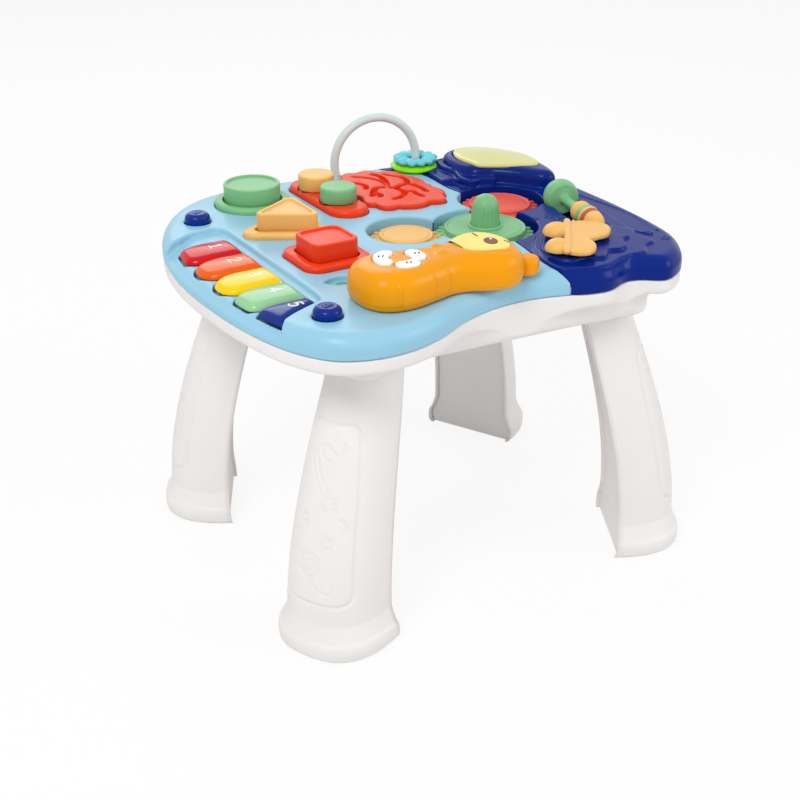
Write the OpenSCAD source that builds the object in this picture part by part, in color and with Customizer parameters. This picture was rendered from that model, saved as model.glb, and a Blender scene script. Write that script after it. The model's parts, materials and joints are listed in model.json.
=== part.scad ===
// Baby activity table: a coloured play deck of gears, keys, shape blocks and a toy handset on four moulded legs.
// Millimetres, +Z up, ground at z = 0, long side along X, the front long side faces -Y.

/* [Table] */
// height of the seam between the white tray and the coloured panels
seam_z = 276; // [268:1:284]
// rise of the play deck above the seam
deck_rise = 20; // [19:0.5:22]
// width of the rounded rim of the deck
rim_w = 12; // [10:0.5:14]
// wall of the moulded panels and the tray
wall = 2.6; // [2.2:0.1:3]
// depth of the white tray below the seam
tray_h = 36; // [34:1:38]

/* [Legs] */
// outward angle of each leg from the long axis
leg_turn = 27.5; // [26:0.5:29]
// wall of the leg mouldings
leg_wall = 2.6; // [2.2:0.1:3]
// how far the foot rim stands out of the leg
foot_flare = 7; // [5:0.5:8]
// depth of the recessed plate on the inner side
leg_recess = 3; // [2:0.5:6]

/* [Gears] */
// tooth size of the gear train, pitch diameter over teeth
gear_module = 3; // [2.9:0.02:3.04]
// radial running clearance of gears on their posts
run_gap = 0.08; // [0.05:0.01:0.1]
// height of the domed knob on the green gear
knob_h = 27; // [24:1:30]

/* [Keys] */
// spacing of the five piano keys
key_pitch = 38.8; // [38:0.1:39]
// gap between neighbouring keys
key_gap = 0.8; // [0.6:0.1:1.2]
// height of a key body
key_h = 8; // [7:0.5:9]

/* [Blocks] */
// height of the shape blocks above their sockets
block_h = 20; // [16:1:24]
// gap around a block in its socket
block_gap = 0.5; // [0.4:0.1:0.8]
// height of the coloured sockets above the deck
socket_rise = 5; // [4:0.5:6]

/* [Handset] */
// height of the handset above the deck
phone_h = 30; // [27:0.5:32]
// wall of the handset shells
phone_wall = 2.4; // [2:0.1:2.6]

/* [Arch] */
// radius of the arch's centre line
arch_r = 43; // [42:0.5:44]
// radius of the arch tube
tube_r = 4.2; // [3.8:0.1:4.4]

/* [Hidden] */

// middle of everything, so that the frame's origin is under the middle of the bounding box
mid = [-2.93, 5.94];
deck_z = seam_z + deck_rise;
under_z = deck_z - wall;
tray_z = seam_z - tray_h;
seam_gap = 0.3;
fit = 0.3;
// how far a cut runs past a face, and how far joined shapes run into each other
over = 1;
sink = 0.2;
// skin round the wells
cup_wall = 1.8;
floor_t = 2;

pale = [0.66, 0.82, 0.91];
navy = [0.05, 0.10, 0.42];
white = [0.95, 0.94, 0.92];
amber = [0.98, 0.66, 0.08];
green = [0.45, 0.74, 0.53];
honey = [0.96, 0.74, 0.34];
coral = [0.93, 0.42, 0.36];
tomato = [0.93, 0.30, 0.14];
cream = [0.98, 0.90, 0.55];
lens_yellow = [0.86, 0.86, 0.50];
teal = [0.35, 0.66, 0.56];
ice = [0.78, 0.90, 0.89];
lime = [0.56, 0.86, 0.12];
aqua = [0.50, 0.84, 0.88];
petal_white = [0.96, 0.95, 0.92];
button_blue = [0.07, 0.15, 0.47];
key_colors = [
    [0.80, 0.10, 0.14], [0.94, 0.45, 0.10], [0.99, 0.83, 0.10], [0.58, 0.79, 0.60], [0.05, 0.18, 0.52]
];
steel = [0.75, 0.75, 0.76];
board_green = [0.10, 0.42, 0.22];
rubber = [0.85, 0.85, 0.83];
black = [0.15, 0.15, 0.16];

// rim of the table top, counter-clockwise from the middle of the right end
rim_points = [
    [205, 0], [204, 42], [198, 88], [186, 128], [160, 158], [128, 174], [92, 182], [55, 186],
    [15, 188], [-28, 193], [-70, 196.5], [-108, 194], [-140, 182], [-167, 160], [-188, 130],
    [-203, 95], [-213, 45], [-215.5, -10], [-211, -75], [-199, -130], [-178, -167], [-150, -182],
    [-118, -184], [-85, -175], [-50, -157], [-15, -147], [18, -146], [48, -153], [70, -162],
    [90, -164], [111, -156], [125, -158], [142, -169], [157, -166], [176, -152], [193, -124],
    [200, -90], [204, -45]
];
// radii of the tray's bottom edge, one every 22.5 degrees from the right end
tray_radii = [176, 188, 202, 170, 160, 172, 196, 196, 182, 188, 183, 152, 144, 160, 202, 186];
// line between the pale and the navy panel, from front to back
split_points = [
    [43, -190], [43, -150], [47, -125], [56, -100], [72, -76], [96, -60], [112, -30],
    [100, 20], [93, 62], [90, 90], [92, 125], [86, 152], [64, 172], [56, 210]
];

function between(a, b, c, d, t) =
    0.5 * (2 * b + (c - a) * t + (2 * a - 5 * b + 4 * c - d) * t * t + (3 * b - a - 3 * c + d) * t * t * t);
function smooth(p, n) = [
    for (i = [0:len(p) - 1], k = [0:n - 1])
        between(p[(i + len(p) - 1) % len(p)], p[i], p[(i + 1) % len(p)], p[(i + 2) % len(p)], k / n)
];
function open_smooth(p, n) = [
    for (i = [0:len(p) - 2], k = [0:n - 1])
        between(p[max(i - 1, 0)], p[i], p[i + 1], p[min(i + 2, len(p) - 1)], k / n)
];
function inward(c, d) = [
    for (i = [0:len(c) - 1])
        let (t = c[(i + 1) % len(c)] - c[(i + len(c) - 1) % len(c)])
            c[i] + d * [-t[1], t[0]] / norm(t)
];
function ray(a) = [cos(a), sin(a)];
function at_z(c, z) = [for (p = c) [p[0], p[1], z]];
function mix(a, b, f) = [for (i = [0:len(a) - 1]) a[i] * (1 - f) + b[i] * f];

rim = smooth(rim_points, 3);
// the tray's bottom edge, one point for each point of the rim
tray_edge = [
    for (p = rim)
        let (a = (atan2(p[1], p[0]) + 360) % 360 / 22.5, i = floor(a), r = tray_radii)
            between(r[(i + 15) % 16], r[i % 16], r[(i + 1) % 16], r[(i + 2) % 16], a - i) * p / norm(p)
];

// closed solid from a pile of rings with the same number of points
module pile(rings) {
    n = len(rings[0]);
    m = len(rings);
    low = rings[0];
    high = rings[m - 1];
    polyhedron(
        concat([for (r = rings) each r], [average(low), average(high)]),
        concat(
            [for (j = [0:m - 2], i = [0:n - 1])
                [j * n + i, (j + 1) * n + i, (j + 1) * n + (i + 1) % n, j * n + (i + 1) % n]],
            [for (i = [0:n - 1]) [n * m, i, (i + 1) % n]],
            [for (i = [0:n - 1]) [n * m + 1, (m - 1) * n + (i + 1) % n, (m - 1) * n + i]]
        )
    );
}
function average(c) = [for (k = [0:2]) sum([for (p = c) p[k]]) / len(c)];
function sum(v) = [for (x = v) 1] * v;

// shell open at its first ring: outer rings, inner rings and the edge that joins them
module cup(outer, inner) {
    n = len(outer[0]);
    m = len(outer);
    k = len(inner);
    b = n * m;
    top = n * (m + k);
    polyhedron(
        concat([for (r = outer) each r], [for (r = inner) each r], [average(outer[m - 1]), average(inner[k - 1])]),
        concat(
            [for (j = [0:m - 2], i = [0:n - 1])
                [j * n + i, (j + 1) * n + i, (j + 1) * n + (i + 1) % n, j * n + (i + 1) % n]],
            [for (j = [0:k - 2], i = [0:n - 1])
                [b + j * n + (i + 1) % n, b + (j + 1) * n + (i + 1) % n, b + (j + 1) * n + i, b + j * n + i]],
            [for (i = [0:n - 1]) [i, (i + 1) % n, b + (i + 1) % n, b + i]],
            [for (i = [0:n - 1]) [top, (m - 1) * n + (i + 1) % n, (m - 1) * n + i]],
            [for (i = [0:n - 1]) [top + 1, b + (k - 1) * n + i, b + (k - 1) * n + (i + 1) % n]]
        )
    );
}

module placed() {
    translate([-mid[0], -mid[1], 0])
        children();
}
module slab(z, h) {
    translate([0, 0, z])
        linear_extrude(h)
            children();
}
module bar(a, b, w) {
    d = b - a;
    translate(a)
        rotate(atan2(d[1], d[0]))
            translate([0, -w / 2])
                square([norm(d), w]);
    translate(a)
        circle(d = w, $fn = 16);
    translate(b)
        circle(d = w, $fn = 16);
}
// thin line from a to b
module line(a, b) {
    translate(a)
        rotate(atan2(b[1] - a[1], b[0] - a[0]))
            translate([-0.1, -0.1])
                square([norm(b - a) + 0.2, 0.2]);
}
module rounded(w, d, r) {
    for (x = [-1, 1], y = [-1, 1])
        translate([x * (w / 2 - r), y * (d / 2 - r)])
            circle(r, $fn = 32);
    square([w - 2 * r, d], center = true);
    square([w, d - 2 * r], center = true);
}

// gear train: the wells and the two motion ratios follow these tooth counts
green_teeth = 28;
yellow_teeth = 20;
red_teeth = 23;
green_at = [60, -19];
mesh_gap = 0.25;
yellow_dir = 160;
red_dir = 45.6;
green_r = gear_module * green_teeth / 2;
yellow_r = gear_module * yellow_teeth / 2;
red_r = gear_module * red_teeth / 2;
yellow_at = green_at + (green_r + yellow_r + mesh_gap) * ray(yellow_dir);
red_at = green_at + (green_r + red_r + mesh_gap) * ray(red_dir);
// radius and height of the plate on each gear
green_plate = [38.4, 6];
yellow_plate = [25.5, 3.4];
red_plate = [30.5, 3.4];
well_gap = 2.4;
gear_floor_z = seam_z + 2;
tooth_low = gear_floor_z + 3;
gear_t = 8;
tooth_high = tooth_low + gear_t;
post_r = 4;

// space the keys sit in; its outer side is the rim of the table, set in by the well's edge
well_points = [
    [-235, -150], [-190, -118], [-170, -107], [-153, -99.5], [-147, -92], [-145.5, -60], [-145.5, 0],
    [-145.5, 60], [-146.5, 86], [-153, 96], [-172, 95.5], [-190, 86], [-235, 50]
];
well_edge = 9;
key_in_x = -152;
key_out_x = -205.4;
key_mid_y = -23.5;
key_top_z = deck_z - 1;
key_low_z = key_top_z - key_h;
key_floor_z = deck_z - 15;
key_hinge_z = key_low_z + 3.4;
key_hinge_x = -155.5;
key_rod_r = 1.5;
key_reach = 200;
key_side_gap = 1.2;
key_nose = 0.55;

button_at = [[-160, -131], [-158, 121]];
button_r = 11.5;
button_gap = 0.5;
button_lip = 2.6;
button_cup_z = deck_z - 16;
dome_sink = 0.02;

round_at = [-93, 143];
triangle_at = [-97, 60];
square_at = [-101, -20];
round_r = 35;
round_block_r = 26.3;
triangle_r = 30;
triangle_round = 12;
triangle_block_r = 24;
triangle_block_round = 6;
square_w = 62;
square_round = 14;
square_block_w = 43;
square_block_round = 9;
block_rim = 3.6;
block_dip = 1.4;
socket_low = deck_z - 6;
socket_top = deck_z + socket_rise;
block_low = deck_z + 0.5;
block_top = deck_z + block_h;

disc_x = -28;
disc_y = [94, 138];
disc_r = 17;
disc_base_w = 38;
disc_base_y = [57, 172];
disc_base_top = deck_z + 6;
disc_travel = 2.5;
disc_stem_r = 10;
disc_hang = 4;

tree_at = [34, 112];
tree_points = [
    [77, 100], [75, 125], [69, 148], [53, 163], [38, 170], [22, 171], [7, 162], [-2, 145], [-4, 120],
    [-5, 95], [-6, 76], [1, 62], [14, 53], [38, 49], [58, 49], [72, 60], [77, 80]
];
tree_top = deck_z + 4;
tree_lobe = 6;
tree_lobe_depth = 0.07;
grooves = [
    [[20, 158], [37, 146]], [[49, 156], [43, 132]], [[43, 132], [33, 119]], [[13, 147], [15, 126]],
    [[10, 96], [20, 114]], [[20, 114], [33, 119]], [[33, 119], [58, 111]], [[27, 76], [39, 80]],
    [[39, 80], [46, 96]], [[46, 96], [44, 114]], [[60, 140], [62, 116]], [[62, 116], [64, 86]],
    [[46, 96], [50, 72]]
];
groove_w = 4.6;
groove_deep = 3;

eye_at = [-114, -71];
eye_floor_z = deck_z - 9;
ball_at = [159, 1];
roller_turn = 256.5;
roller_z = deck_z + 4;
roller_ball_r = 16.5;
roller_len = 78;
roller_floor_z = roller_z - roller_ball_r - 2;
rod_r = 1.6;
// the roller's pieces stand one after the other along the rod, the taper's tip past the well's end
taper_tip = 8.4;
taper_len = 32;
bead_len = 14;
bead_gap = 0.2;
taper_start = roller_len + taper_tip - taper_len;
bead_start = taper_start - bead_len - bead_gap;
ball_stem = bead_start - bead_gap;
ball_flat = 8;
lug_back = -roller_ball_r - 4.4;
lug_front = roller_len + 12.6;
lug_t = 3;
lug_cover = 0.8;
rod_in_lug = 1.8;

fly_at = [96, -103];
fly_turn = 55;
plateau_top = deck_z + 6;
fly_low = plateau_top + 2.6;
fly_high = fly_low + 3.4;
fly_pin_z = fly_low + 1.2;
fly_pin_r = 1.3;
fly_post_x = [-33.6, 31.5];
fly_post_t = 3.4;

lens_points = [[129, 84], [174, 62], [183, 84], [180, 105], [165, 131], [146, 144], [130, 142], [121, 124], [122, 100]];
house_points = [
    [118, 88], [136, 76], [152, 58], [166, 38], [180, 38], [188, 58], [190, 84], [184, 112], [170, 138],
    [150, 152], [132, 154], [119, 146], [113, 124], [112, 102]
];
house_top = deck_z + 18;
lens_z = house_top - 3.6;

arch_at = [53, 166];
arch_turn = -9;
arch_z = deck_z + 13;
arch_start = -20;
arch_collar = 0.9;
ring_bore = 8.2;
ring_r = 24;

phone_mid = [-52, -125];
phone_z = deck_z + 0.3;
phone_split = 10;
phone_points = [
    [-85, 0], [-83, 15], [-74, 27], [-60, 33], [-42, 33.5], [-22, 29.5], [-4, 26], [14, 27],
    [32, 32.5], [48, 35], [63, 32], [74, 24], [80, 13], [82, 0]
];

// table
module tray_body() {
    o = 0.4;
    outer = [
        at_z(inward(rim, o), -seam_z + fit),
        at_z(inward(rim, o + 1), -seam_z + 11),
        at_z(mix(inward(rim, o + 2.4), tray_edge, 0.14), -seam_z + 15),
        at_z(mix(inward(rim, o + 2.4), tray_edge, 0.62), -seam_z + 25),
        at_z(mix(inward(rim, o + 2.4), tray_edge, 0.92), -tray_z - 4),
        at_z(inward(tray_edge, 3.5), -tray_z)
    ];
    inner = [
        at_z(inward(rim, o + wall), -seam_z + fit),
        at_z(inward(rim, o + 1 + wall), -seam_z + 10),
        at_z(mix(inward(rim, o + 2.4 + wall), inward(tray_edge, wall), 0.62), -seam_z + 24),
        at_z(inward(tray_edge, 3.5 + wall), -tray_z - wall)
    ];
    mirror([0, 0, 1])
        cup(outer, inner);
}
module tray() {
    color(white)
        placed() {
            difference() {
                tray_body();
                for_legs()
                    slab(tray_z - over, wall + 2 * over)
                        plug_shape(fit);
                slab(tray_z - over, wall + 2 * over)
                    battery_hole();
                speaker_holes();
                for (p = concat(boss_at, floor_boss_at))
                    translate([p[0], p[1], tray_z - over])
                        cylinder(r = screw_way, h = wall + 2 * over, $fn = 16);
            }
            for_legs()
                slab(tray_z + wall - sink, plug_h - 4)
                    difference() {
                        plug_shape(fit + 2);
                        plug_shape(fit);
                    }
            for (p = concat(boss_at, floor_boss_at))
                post(p, tray_z + wall - sink, seam_z - fit - tray_z - wall + sink, post_wall_r, screw_way);
        }
}
screw_r = 1.5;
screw_head = 0.4;
screw_way = 1.8;
screw_pilot = 1.3;
post_wall_r = 4.5;
// screw posts under the panels, then under the gear floor
pale_boss_at = [[-168, 5], [-170, -58], [-60, -130], [-53, 150], [84.2, 112]];
navy_boss_at = [[62, -132], [160, -82], [112, -50], [100, 80.5]];
boss_at = concat(pale_boss_at, navy_boss_at);
floor_boss_at = [[95, -45], [30, -45], [128, 50]];
module post(p, z, h, r, hole) {
    translate([p[0], p[1], z])
        difference() {
            cylinder(r = r, h = h, $fn = 24);
            translate([0, 0, -1])
                cylinder(r = hole, h = h + 2, $fn = 16);
        }
}

module deck_blank() {
    bend = deck_rise - 7;
    steps = [0, 25, 50, 75, 90];
    cup(
        concat(
            [at_z(rim, seam_z)],
            [for (a = steps) at_z(inward(rim, rim_w * (1 - cos(a))), deck_z - bend + bend * sin(a))]
        ),
        concat(
            [at_z(inward(rim, wall), seam_z)],
            [for (a = [0, 45, 90])
                at_z(inward(rim, wall + (rim_w - wall) * (1 - cos(a))), under_z - (bend - wall) * (1 - sin(a)))]
        )
    );
}
module navy_zone(d) {
    line = open_smooth(split_points, 3);
    polygon(concat([for (p = line) p + [d, 0]], [[260, 210], [260, -190]]));
}
module gear_wells(d) {
    translate(green_at)
        circle(green_r + gear_module + well_gap + d, $fn = 72);
    translate(yellow_at)
        circle(yellow_r + gear_module + well_gap + d, $fn = 60);
    translate(red_at)
        circle(red_r + gear_module + well_gap + d, $fn = 60);
}
module key_well(d) {
    intersection() {
        polygon(inward(smooth(well_points, 2), -d));
        polygon(inward(rim, well_edge - d));
    }
}
module eye_shape(d) {
    translate(eye_at)
        rotate(-10)
            intersection_for(s = [-1, 1])
                translate([0, s * 8])
                    circle(15 + d, $fn = 40);
}
module round_shape(d) {
    translate(round_at)
        circle(round_r + d, $fn = 64);
}
module triangle_shape(r, k, d) {
    translate(triangle_at)
        offset(r = k + d, $fn = 32)
            circle(r, $fn = 3, $fa = 1);
}
module square_shape(w, r, d) {
    translate(square_at)
        rounded(w + 2 * d, w + 2 * d, r + d);
}
module disc_base_shape(d) {
    bar([disc_x, disc_base_y[0] + disc_base_w / 2], [disc_x, disc_base_y[1] - disc_base_w / 2], disc_base_w + 2 * d);
}
module tree_shape(d) {
    c = smooth(tree_points, 4);
    lobed = [
        for (i = [0:len(c) - 1])
            c[i] + (tree_at - c[i]) * tree_lobe_depth * (1 - abs(sin(i * 180 / tree_lobe)))
    ];
    polygon(inward(lobed, -d));
}
// everything from below the seam to above the plateau
module deck_cut() {
    slab(seam_z - over, plateau_top + over - seam_z + over)
        children();
}
module deck_holes() {
    deck_cut()
        key_well(0);
    deck_cut()
        gear_wells(0);
    deck_cut()
        eye_shape(0);
    deck_cut()
        for (p = button_at)
            translate(p)
                circle(button_r + button_gap, $fn = 40);
    deck_cut()
        round_shape(fit);
    deck_cut()
        triangle_shape(triangle_r, triangle_round, fit);
    deck_cut()
        square_shape(square_w, square_round, fit);
    deck_cut()
        disc_base_shape(fit);
    deck_cut()
        tree_shape(fit);
    foot_holes();
}
module foot_holes() {
    for (a = [arch_start, 180 - arch_start])
        translate([arch_at[0], arch_at[1], seam_z])
            rotate(arch_turn)
                translate([arch_r * cos(a), 0, 0])
                    cylinder(r = tube_r + arch_collar + fit, h = deck_rise + over, $fn = 32);
}
module panel_pale() {
    color(pale)
        placed() {
            difference() {
                deck_blank();
                deck_cut()
                    navy_zone(-seam_gap / 2);
                deck_holes();
            }
            key_cup();
            small_cup(eye_at, 11, eye_floor_z);
            for (p = button_at)
                small_cup(p, button_r + button_lip + cup_wall, button_cup_z);
            for (p = pale_boss_at)
                panel_post(p, p[0] < key_in_x ? key_floor_z - 1.5 : under_z + 0.5);
        }
}
module panel_post(p, top) {
    post(p, seam_z, top - seam_z, post_wall_r, screw_pilot);
}
module key_cup() {
    slab(key_floor_z - floor_t, floor_t)
        key_well(cup_wall);
    difference() {
        slab(key_floor_z - sink, under_z - key_floor_z + 2 * sink)
            difference() {
                key_well(cup_wall);
                key_well(0);
            }
        key_rod_bore(key_rod_r, [-140, 140]);
    }
}
module small_cup(p, r, z) {
    translate([p[0], p[1], z - 1.6])
        difference() {
            cylinder(r = r + 1.6, h = under_z - z + 2, $fn = 40);
            translate([0, 0, 1.6])
                cylinder(r = r, h = deck_rise, $fn = 40);
        }
}
module roller_well(d) {
    translate(ball_at)
        rotate(roller_turn) {
            circle(roller_ball_r + 1 + d, $fn = 48);
            translate([0, -(12 + d)])
                square([roller_len, 2 * (12 + d)]);
            translate([roller_len, 0])
                circle(12 + d, $fn = 40);
        }
}
plateau_off = [1, -6];
plateau_r = 45;
plateau_lobe = 3.4;
plateau_squash = 0.92;
module plateau_shape() {
    polygon([
        for (a = [0:6:354])
            let (r = plateau_r + plateau_lobe * abs(sin(a * 4)))
                fly_at + plateau_off + r * [cos(a), plateau_squash * sin(a)]
    ]);
}
module panel_navy() {
    color(navy)
        placed() {
            difference() {
                union() {
                    intersection() {
                        deck_blank();
                        deck_cut()
                            navy_zone(seam_gap / 2);
                    }
                    intersection() {
                        slab(under_z, plateau_top - under_z)
                            plateau_shape();
                        deck_cut()
                            navy_zone(seam_gap / 2);
                    }
                    housing();
                    leaves();
                }
                deck_holes();
                deck_cut()
                    roller_well(0);
                rod_bore(0.1);
                house_hollow();
            }
            slab(roller_floor_z - floor_t, floor_t)
                roller_well(cup_wall);
            difference() {
                slab(roller_floor_z - sink, under_z + 1 - roller_floor_z)
                    difference() {
                        roller_well(cup_wall);
                        roller_well(0);
                    }
                rod_bore(0.02);
            }
            for (p = navy_boss_at)
                panel_post(p, under_z + 0.5);
            rod_ends();
            fly_posts();
        }
}
module housing() {
    c = smooth(house_points, 3);
    pile([
        at_z(c, under_z),
        at_z(c, deck_z + 9),
        at_z(inward(c, 1.6), deck_z + 13),
        at_z(inward(c, 5), deck_z + 16.5),
        at_z(inward(c, 9), house_top)
    ]);
}
module house_hollow() {
    c = smooth(house_points, 3);
    pile([
        at_z(inward(c, 3.2), under_z - 1),
        at_z(inward(c, 3.2), deck_z + 7),
        at_z(inward(c, 7), lens_z - 2)
    ]);
    slab(lens_z, 9)
        lens_shape(0);
}
module lens_shape(d) {
    polygon(inward(smooth(lens_points, 3), -d));
}
// place, radius and height of the two leaf domes
leaf_domes = [[104, 84, 17, 14], [122, 86, 19, 18]];
module leaves() {
    for (p = leaf_domes)
        intersection() {
            translate([p[0], p[1], deck_z - over])
                scale([1, 0.8, p[3] / p[2]])
                    sphere(p[2], $fn = 32);
            slab(under_z, deck_rise + over)
                navy_zone(seam_gap / 2 + 2);
        }
}
module lens() {
    color(lens_yellow)
        placed()
            translate([0, 0, lens_z + 0.1])
                pile([
                    at_z(inward(smooth(lens_points, 3), 0.3), 0),
                    at_z(inward(smooth(lens_points, 3), 0.3), 3.8),
                    at_z(inward(smooth(lens_points, 3), 2.2), 4.8)
                ]);
}
module eye_lens() {
    color(teal)
        placed()
            translate([eye_at[0], eye_at[1], eye_floor_z])
                intersection() {
                    scale([1, 1, 0.8])
                        sphere(7, $fn = 32);
                    cylinder(r = 9, h = 9);
                }
}

// legs
leg_mid = [2.3, 2.2];
leg_at = [140.5, 119.8];
leg_top_z = tray_z - fit;
lean = [26.85, -114.06, 44.76];
leg_half_w = [43.7, -13.9, 15];
leg_depth = [59.1, -16.3, 11.5];
leg_power = [2.6, -0.65];
leg_norm = 250;
foot_profile = [
    [0, foot_flare - 3], [3, foot_flare], [9, foot_flare + 0.6], [15, foot_flare], [18, foot_flare * 0.72],
    [24, foot_flare * 0.36], [32, 0], [leg_norm, 0]
];
function lean_at(t) = lean[0] * t + lean[1] * t * t + lean[2] * t * t * t;
function bow(v, t) = v[0] + v[1] * t + v[2] * t * (1 - t);
// half of the D-shaped section at height z, wall thickness d inside the skin
function leg_half(z, d) =
    let (
        t = z / leg_norm,
        f = lookup(z, foot_profile) - d,
        w = bow(leg_half_w, t) + f,
        h = bow(leg_depth, t) + f,
        k = 2 / (leg_power[0] + leg_power[1] * t)
    )
    [for (a = [0, 12, 26, 40, 56, 73, 90]) [lean_at(t) + h * pow(sin(a), k), w * pow(cos(a), k)]];
function leg_ring(z) =
    let (a = leg_half(z, 0), b = leg_half(z, leg_wall), n = len(a))
        [for (p = concat(
            a,
            [for (i = [n - 2:-1:0]) [a[i][0], -a[i][1]]],
            [for (i = [0:n - 1]) [b[i][0], -b[i][1]]],
            [for (i = [n - 2:-1:0]) b[i]]
        )) [p[0], p[1], z]];
module for_legs() {
    for (x = [-1, 1], y = [-1, 1])
        translate(leg_mid)
            scale([x, y, 1])
                translate(leg_at)
                    rotate(leg_turn)
                        children();
}
module one_leg(x, y) {
    translate(leg_mid)
        mirror([x < 0 ? 1 : 0, 0, 0])
            mirror([0, y < 0 ? 1 : 0, 0])
                translate(leg_at)
                    rotate(leg_turn)
                        children();
}
module leg_channel() {
    levels = [0, 3, 9, 15, 18, 24, 32, 60, 95, 130, 165, 200, 222, leg_top_z];
    rings = [for (z = levels) leg_ring(z)];
    n = len(rings[0]);
    m = len(rings);
    h = n / 2;
    polyhedron(
        [for (r = rings) each r],
        concat(
            [for (j = [0:m - 2], i = [0:n - 1])
                [j * n + (i + 1) % n, (j + 1) * n + (i + 1) % n, (j + 1) * n + i, j * n + i]],
            [for (i = [0:h - 2]) [n - 1 - i, n - 2 - i, i + 1, i]],
            [for (i = [0:h - 2])
                [(m - 1) * n + i, (m - 1) * n + i + 1, (m - 1) * n + n - 2 - i, (m - 1) * n + n - 1 - i]]
        )
    );
}
plug_u = lean_at(leg_top_z / leg_norm) + 20;
plug = [30, 28];
plug_round = 6;
plug_h = 20;
module plug_shape(d) {
    translate([plug_u, 0])
        rounded(plug[0] + 2 * d, plug[1] + 2 * d, plug_round + d);
}
// lid of the channel, its edge in the middle of the wall
module leg_lid() {
    a = leg_half(leg_top_z, leg_wall / 2);
    u = lean_at(leg_top_z / leg_norm) + 1.5;
    polygon(concat(
        [[u, a[0][1]]],
        [for (i = [1:len(a) - 1]) a[i]],
        [for (i = [len(a) - 2:-1:1]) [a[i][0], -a[i][1]]],
        [[u, -a[0][1]]]
    ));
}
module leg_solid() {
    leg_channel();
    slab(leg_top_z - 3, 3)
        leg_lid();
    slab(leg_top_z - over, plug_h)
        plug_shape(0);
}
module leg_front_left() {
    color(white)
        placed()
            one_leg(-1, -1)
                leg_solid();
}
module leg_front_right() {
    color(white)
        placed()
            one_leg(1, -1)
                leg_solid();
}
module leg_back_left() {
    color(white)
        placed()
            one_leg(-1, 1)
                leg_solid();
}
module leg_back_right() {
    color(white)
        placed()
            one_leg(1, 1)
                leg_solid();
}
// plate that closes the inner side of a leg, set back from its edges
module leg_plate() {
    pile([
        for (z = [1, 9, 15, 18, 24, 32, 60, 95, 130, 165, 200, 222, leg_top_z - 3.3])
            let (
                t = z / leg_norm,
                u = lean_at(t) + leg_recess,
                f = lookup(z, foot_profile) - leg_wall,
                n = leg_power[0] + leg_power[1] * t,
                s = (leg_recess + 2) / (bow(leg_depth, t) + f),
                w = (bow(leg_half_w, t) + f) * pow(1 - pow(s, n), 1 / n) - 0.8
            )
                [[u, -w, z], [u + 2, -w, z], [u + 2, w, z], [u, w, z]]
    ]);
}
module leg_plate_front_left() {
    color(white)
        placed()
            one_leg(-1, -1)
                leg_plate();
}
module leg_plate_front_right() {
    color(white)
        placed()
            one_leg(1, -1)
                leg_plate();
}
module leg_plate_back_left() {
    color(white)
        placed()
            one_leg(-1, 1)
                leg_plate();
}
module leg_plate_back_right() {
    color(white)
        placed()
            one_leg(1, 1)
                leg_plate();
}

// gear train
module gear_floor() {
    color(navy)
        placed() {
            difference() {
                slab(gear_floor_z - floor_t, under_z - fit - gear_floor_z + floor_t)
                    gear_wells(cup_wall);
                slab(gear_floor_z, deck_rise)
                    gear_wells(sink);
                slab(roller_floor_z - floor_t - fit, deck_rise)
                    roller_well(cup_wall + fit);
            }
            for (p = [green_at, yellow_at, red_at])
                translate([p[0], p[1], gear_floor_z - 1]) {
                    cylinder(r = post_r + 3, h = 3.6, $fn = 32);
                    cylinder(r = post_r, h = tooth_high - gear_floor_z - 1, $fn = 48);
                }
        }
}
// round-ended teeth: each a peg of about half the tooth spacing, standing on the root circle
module gear_shape(teeth, turn) {
    r = gear_module * teeth / 2;
    step = 360 / teeth;
    tooth_w = gear_module * 1.35;
    circle(r - gear_module * 1.15, $fn = teeth * 2);
    for (k = [0:teeth - 1])
        rotate(turn + k * step)
            polygon([
                [r - gear_module * 1.4, -tooth_w * 0.62],
                [r - gear_module * 0.2, -tooth_w * 0.5],
                [r + gear_module * 0.55, -tooth_w * 0.3],
                [r + gear_module * 0.8, 0],
                [r + gear_module * 0.55, tooth_w * 0.3],
                [r - gear_module * 0.2, tooth_w * 0.5],
                [r - gear_module * 1.4, tooth_w * 0.62]
            ]);
}
module gear_body(at, teeth, turn, plate) {
    r = plate[0];
    h = plate[1];
    placed()
        translate([at[0], at[1], 0])
            difference() {
                union() {
                    slab(tooth_low, tooth_high - tooth_low)
                        gear_shape(teeth, turn);
                    translate([0, 0, tooth_high - 0.1])
                        rotate_extrude($fn = 60)
                            polygon([
                                [0, 0], [r, 0], [r, h * 0.5], [r - 1, h * 0.8], [r - 3, h], [0, h]
                            ]);
                }
                translate([0, 0, tooth_low - 1])
                    cylinder(r = post_r + run_gap, h = tooth_high - tooth_low + 1.6, $fn = 48);
            }
}
green_turn = 0;
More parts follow.
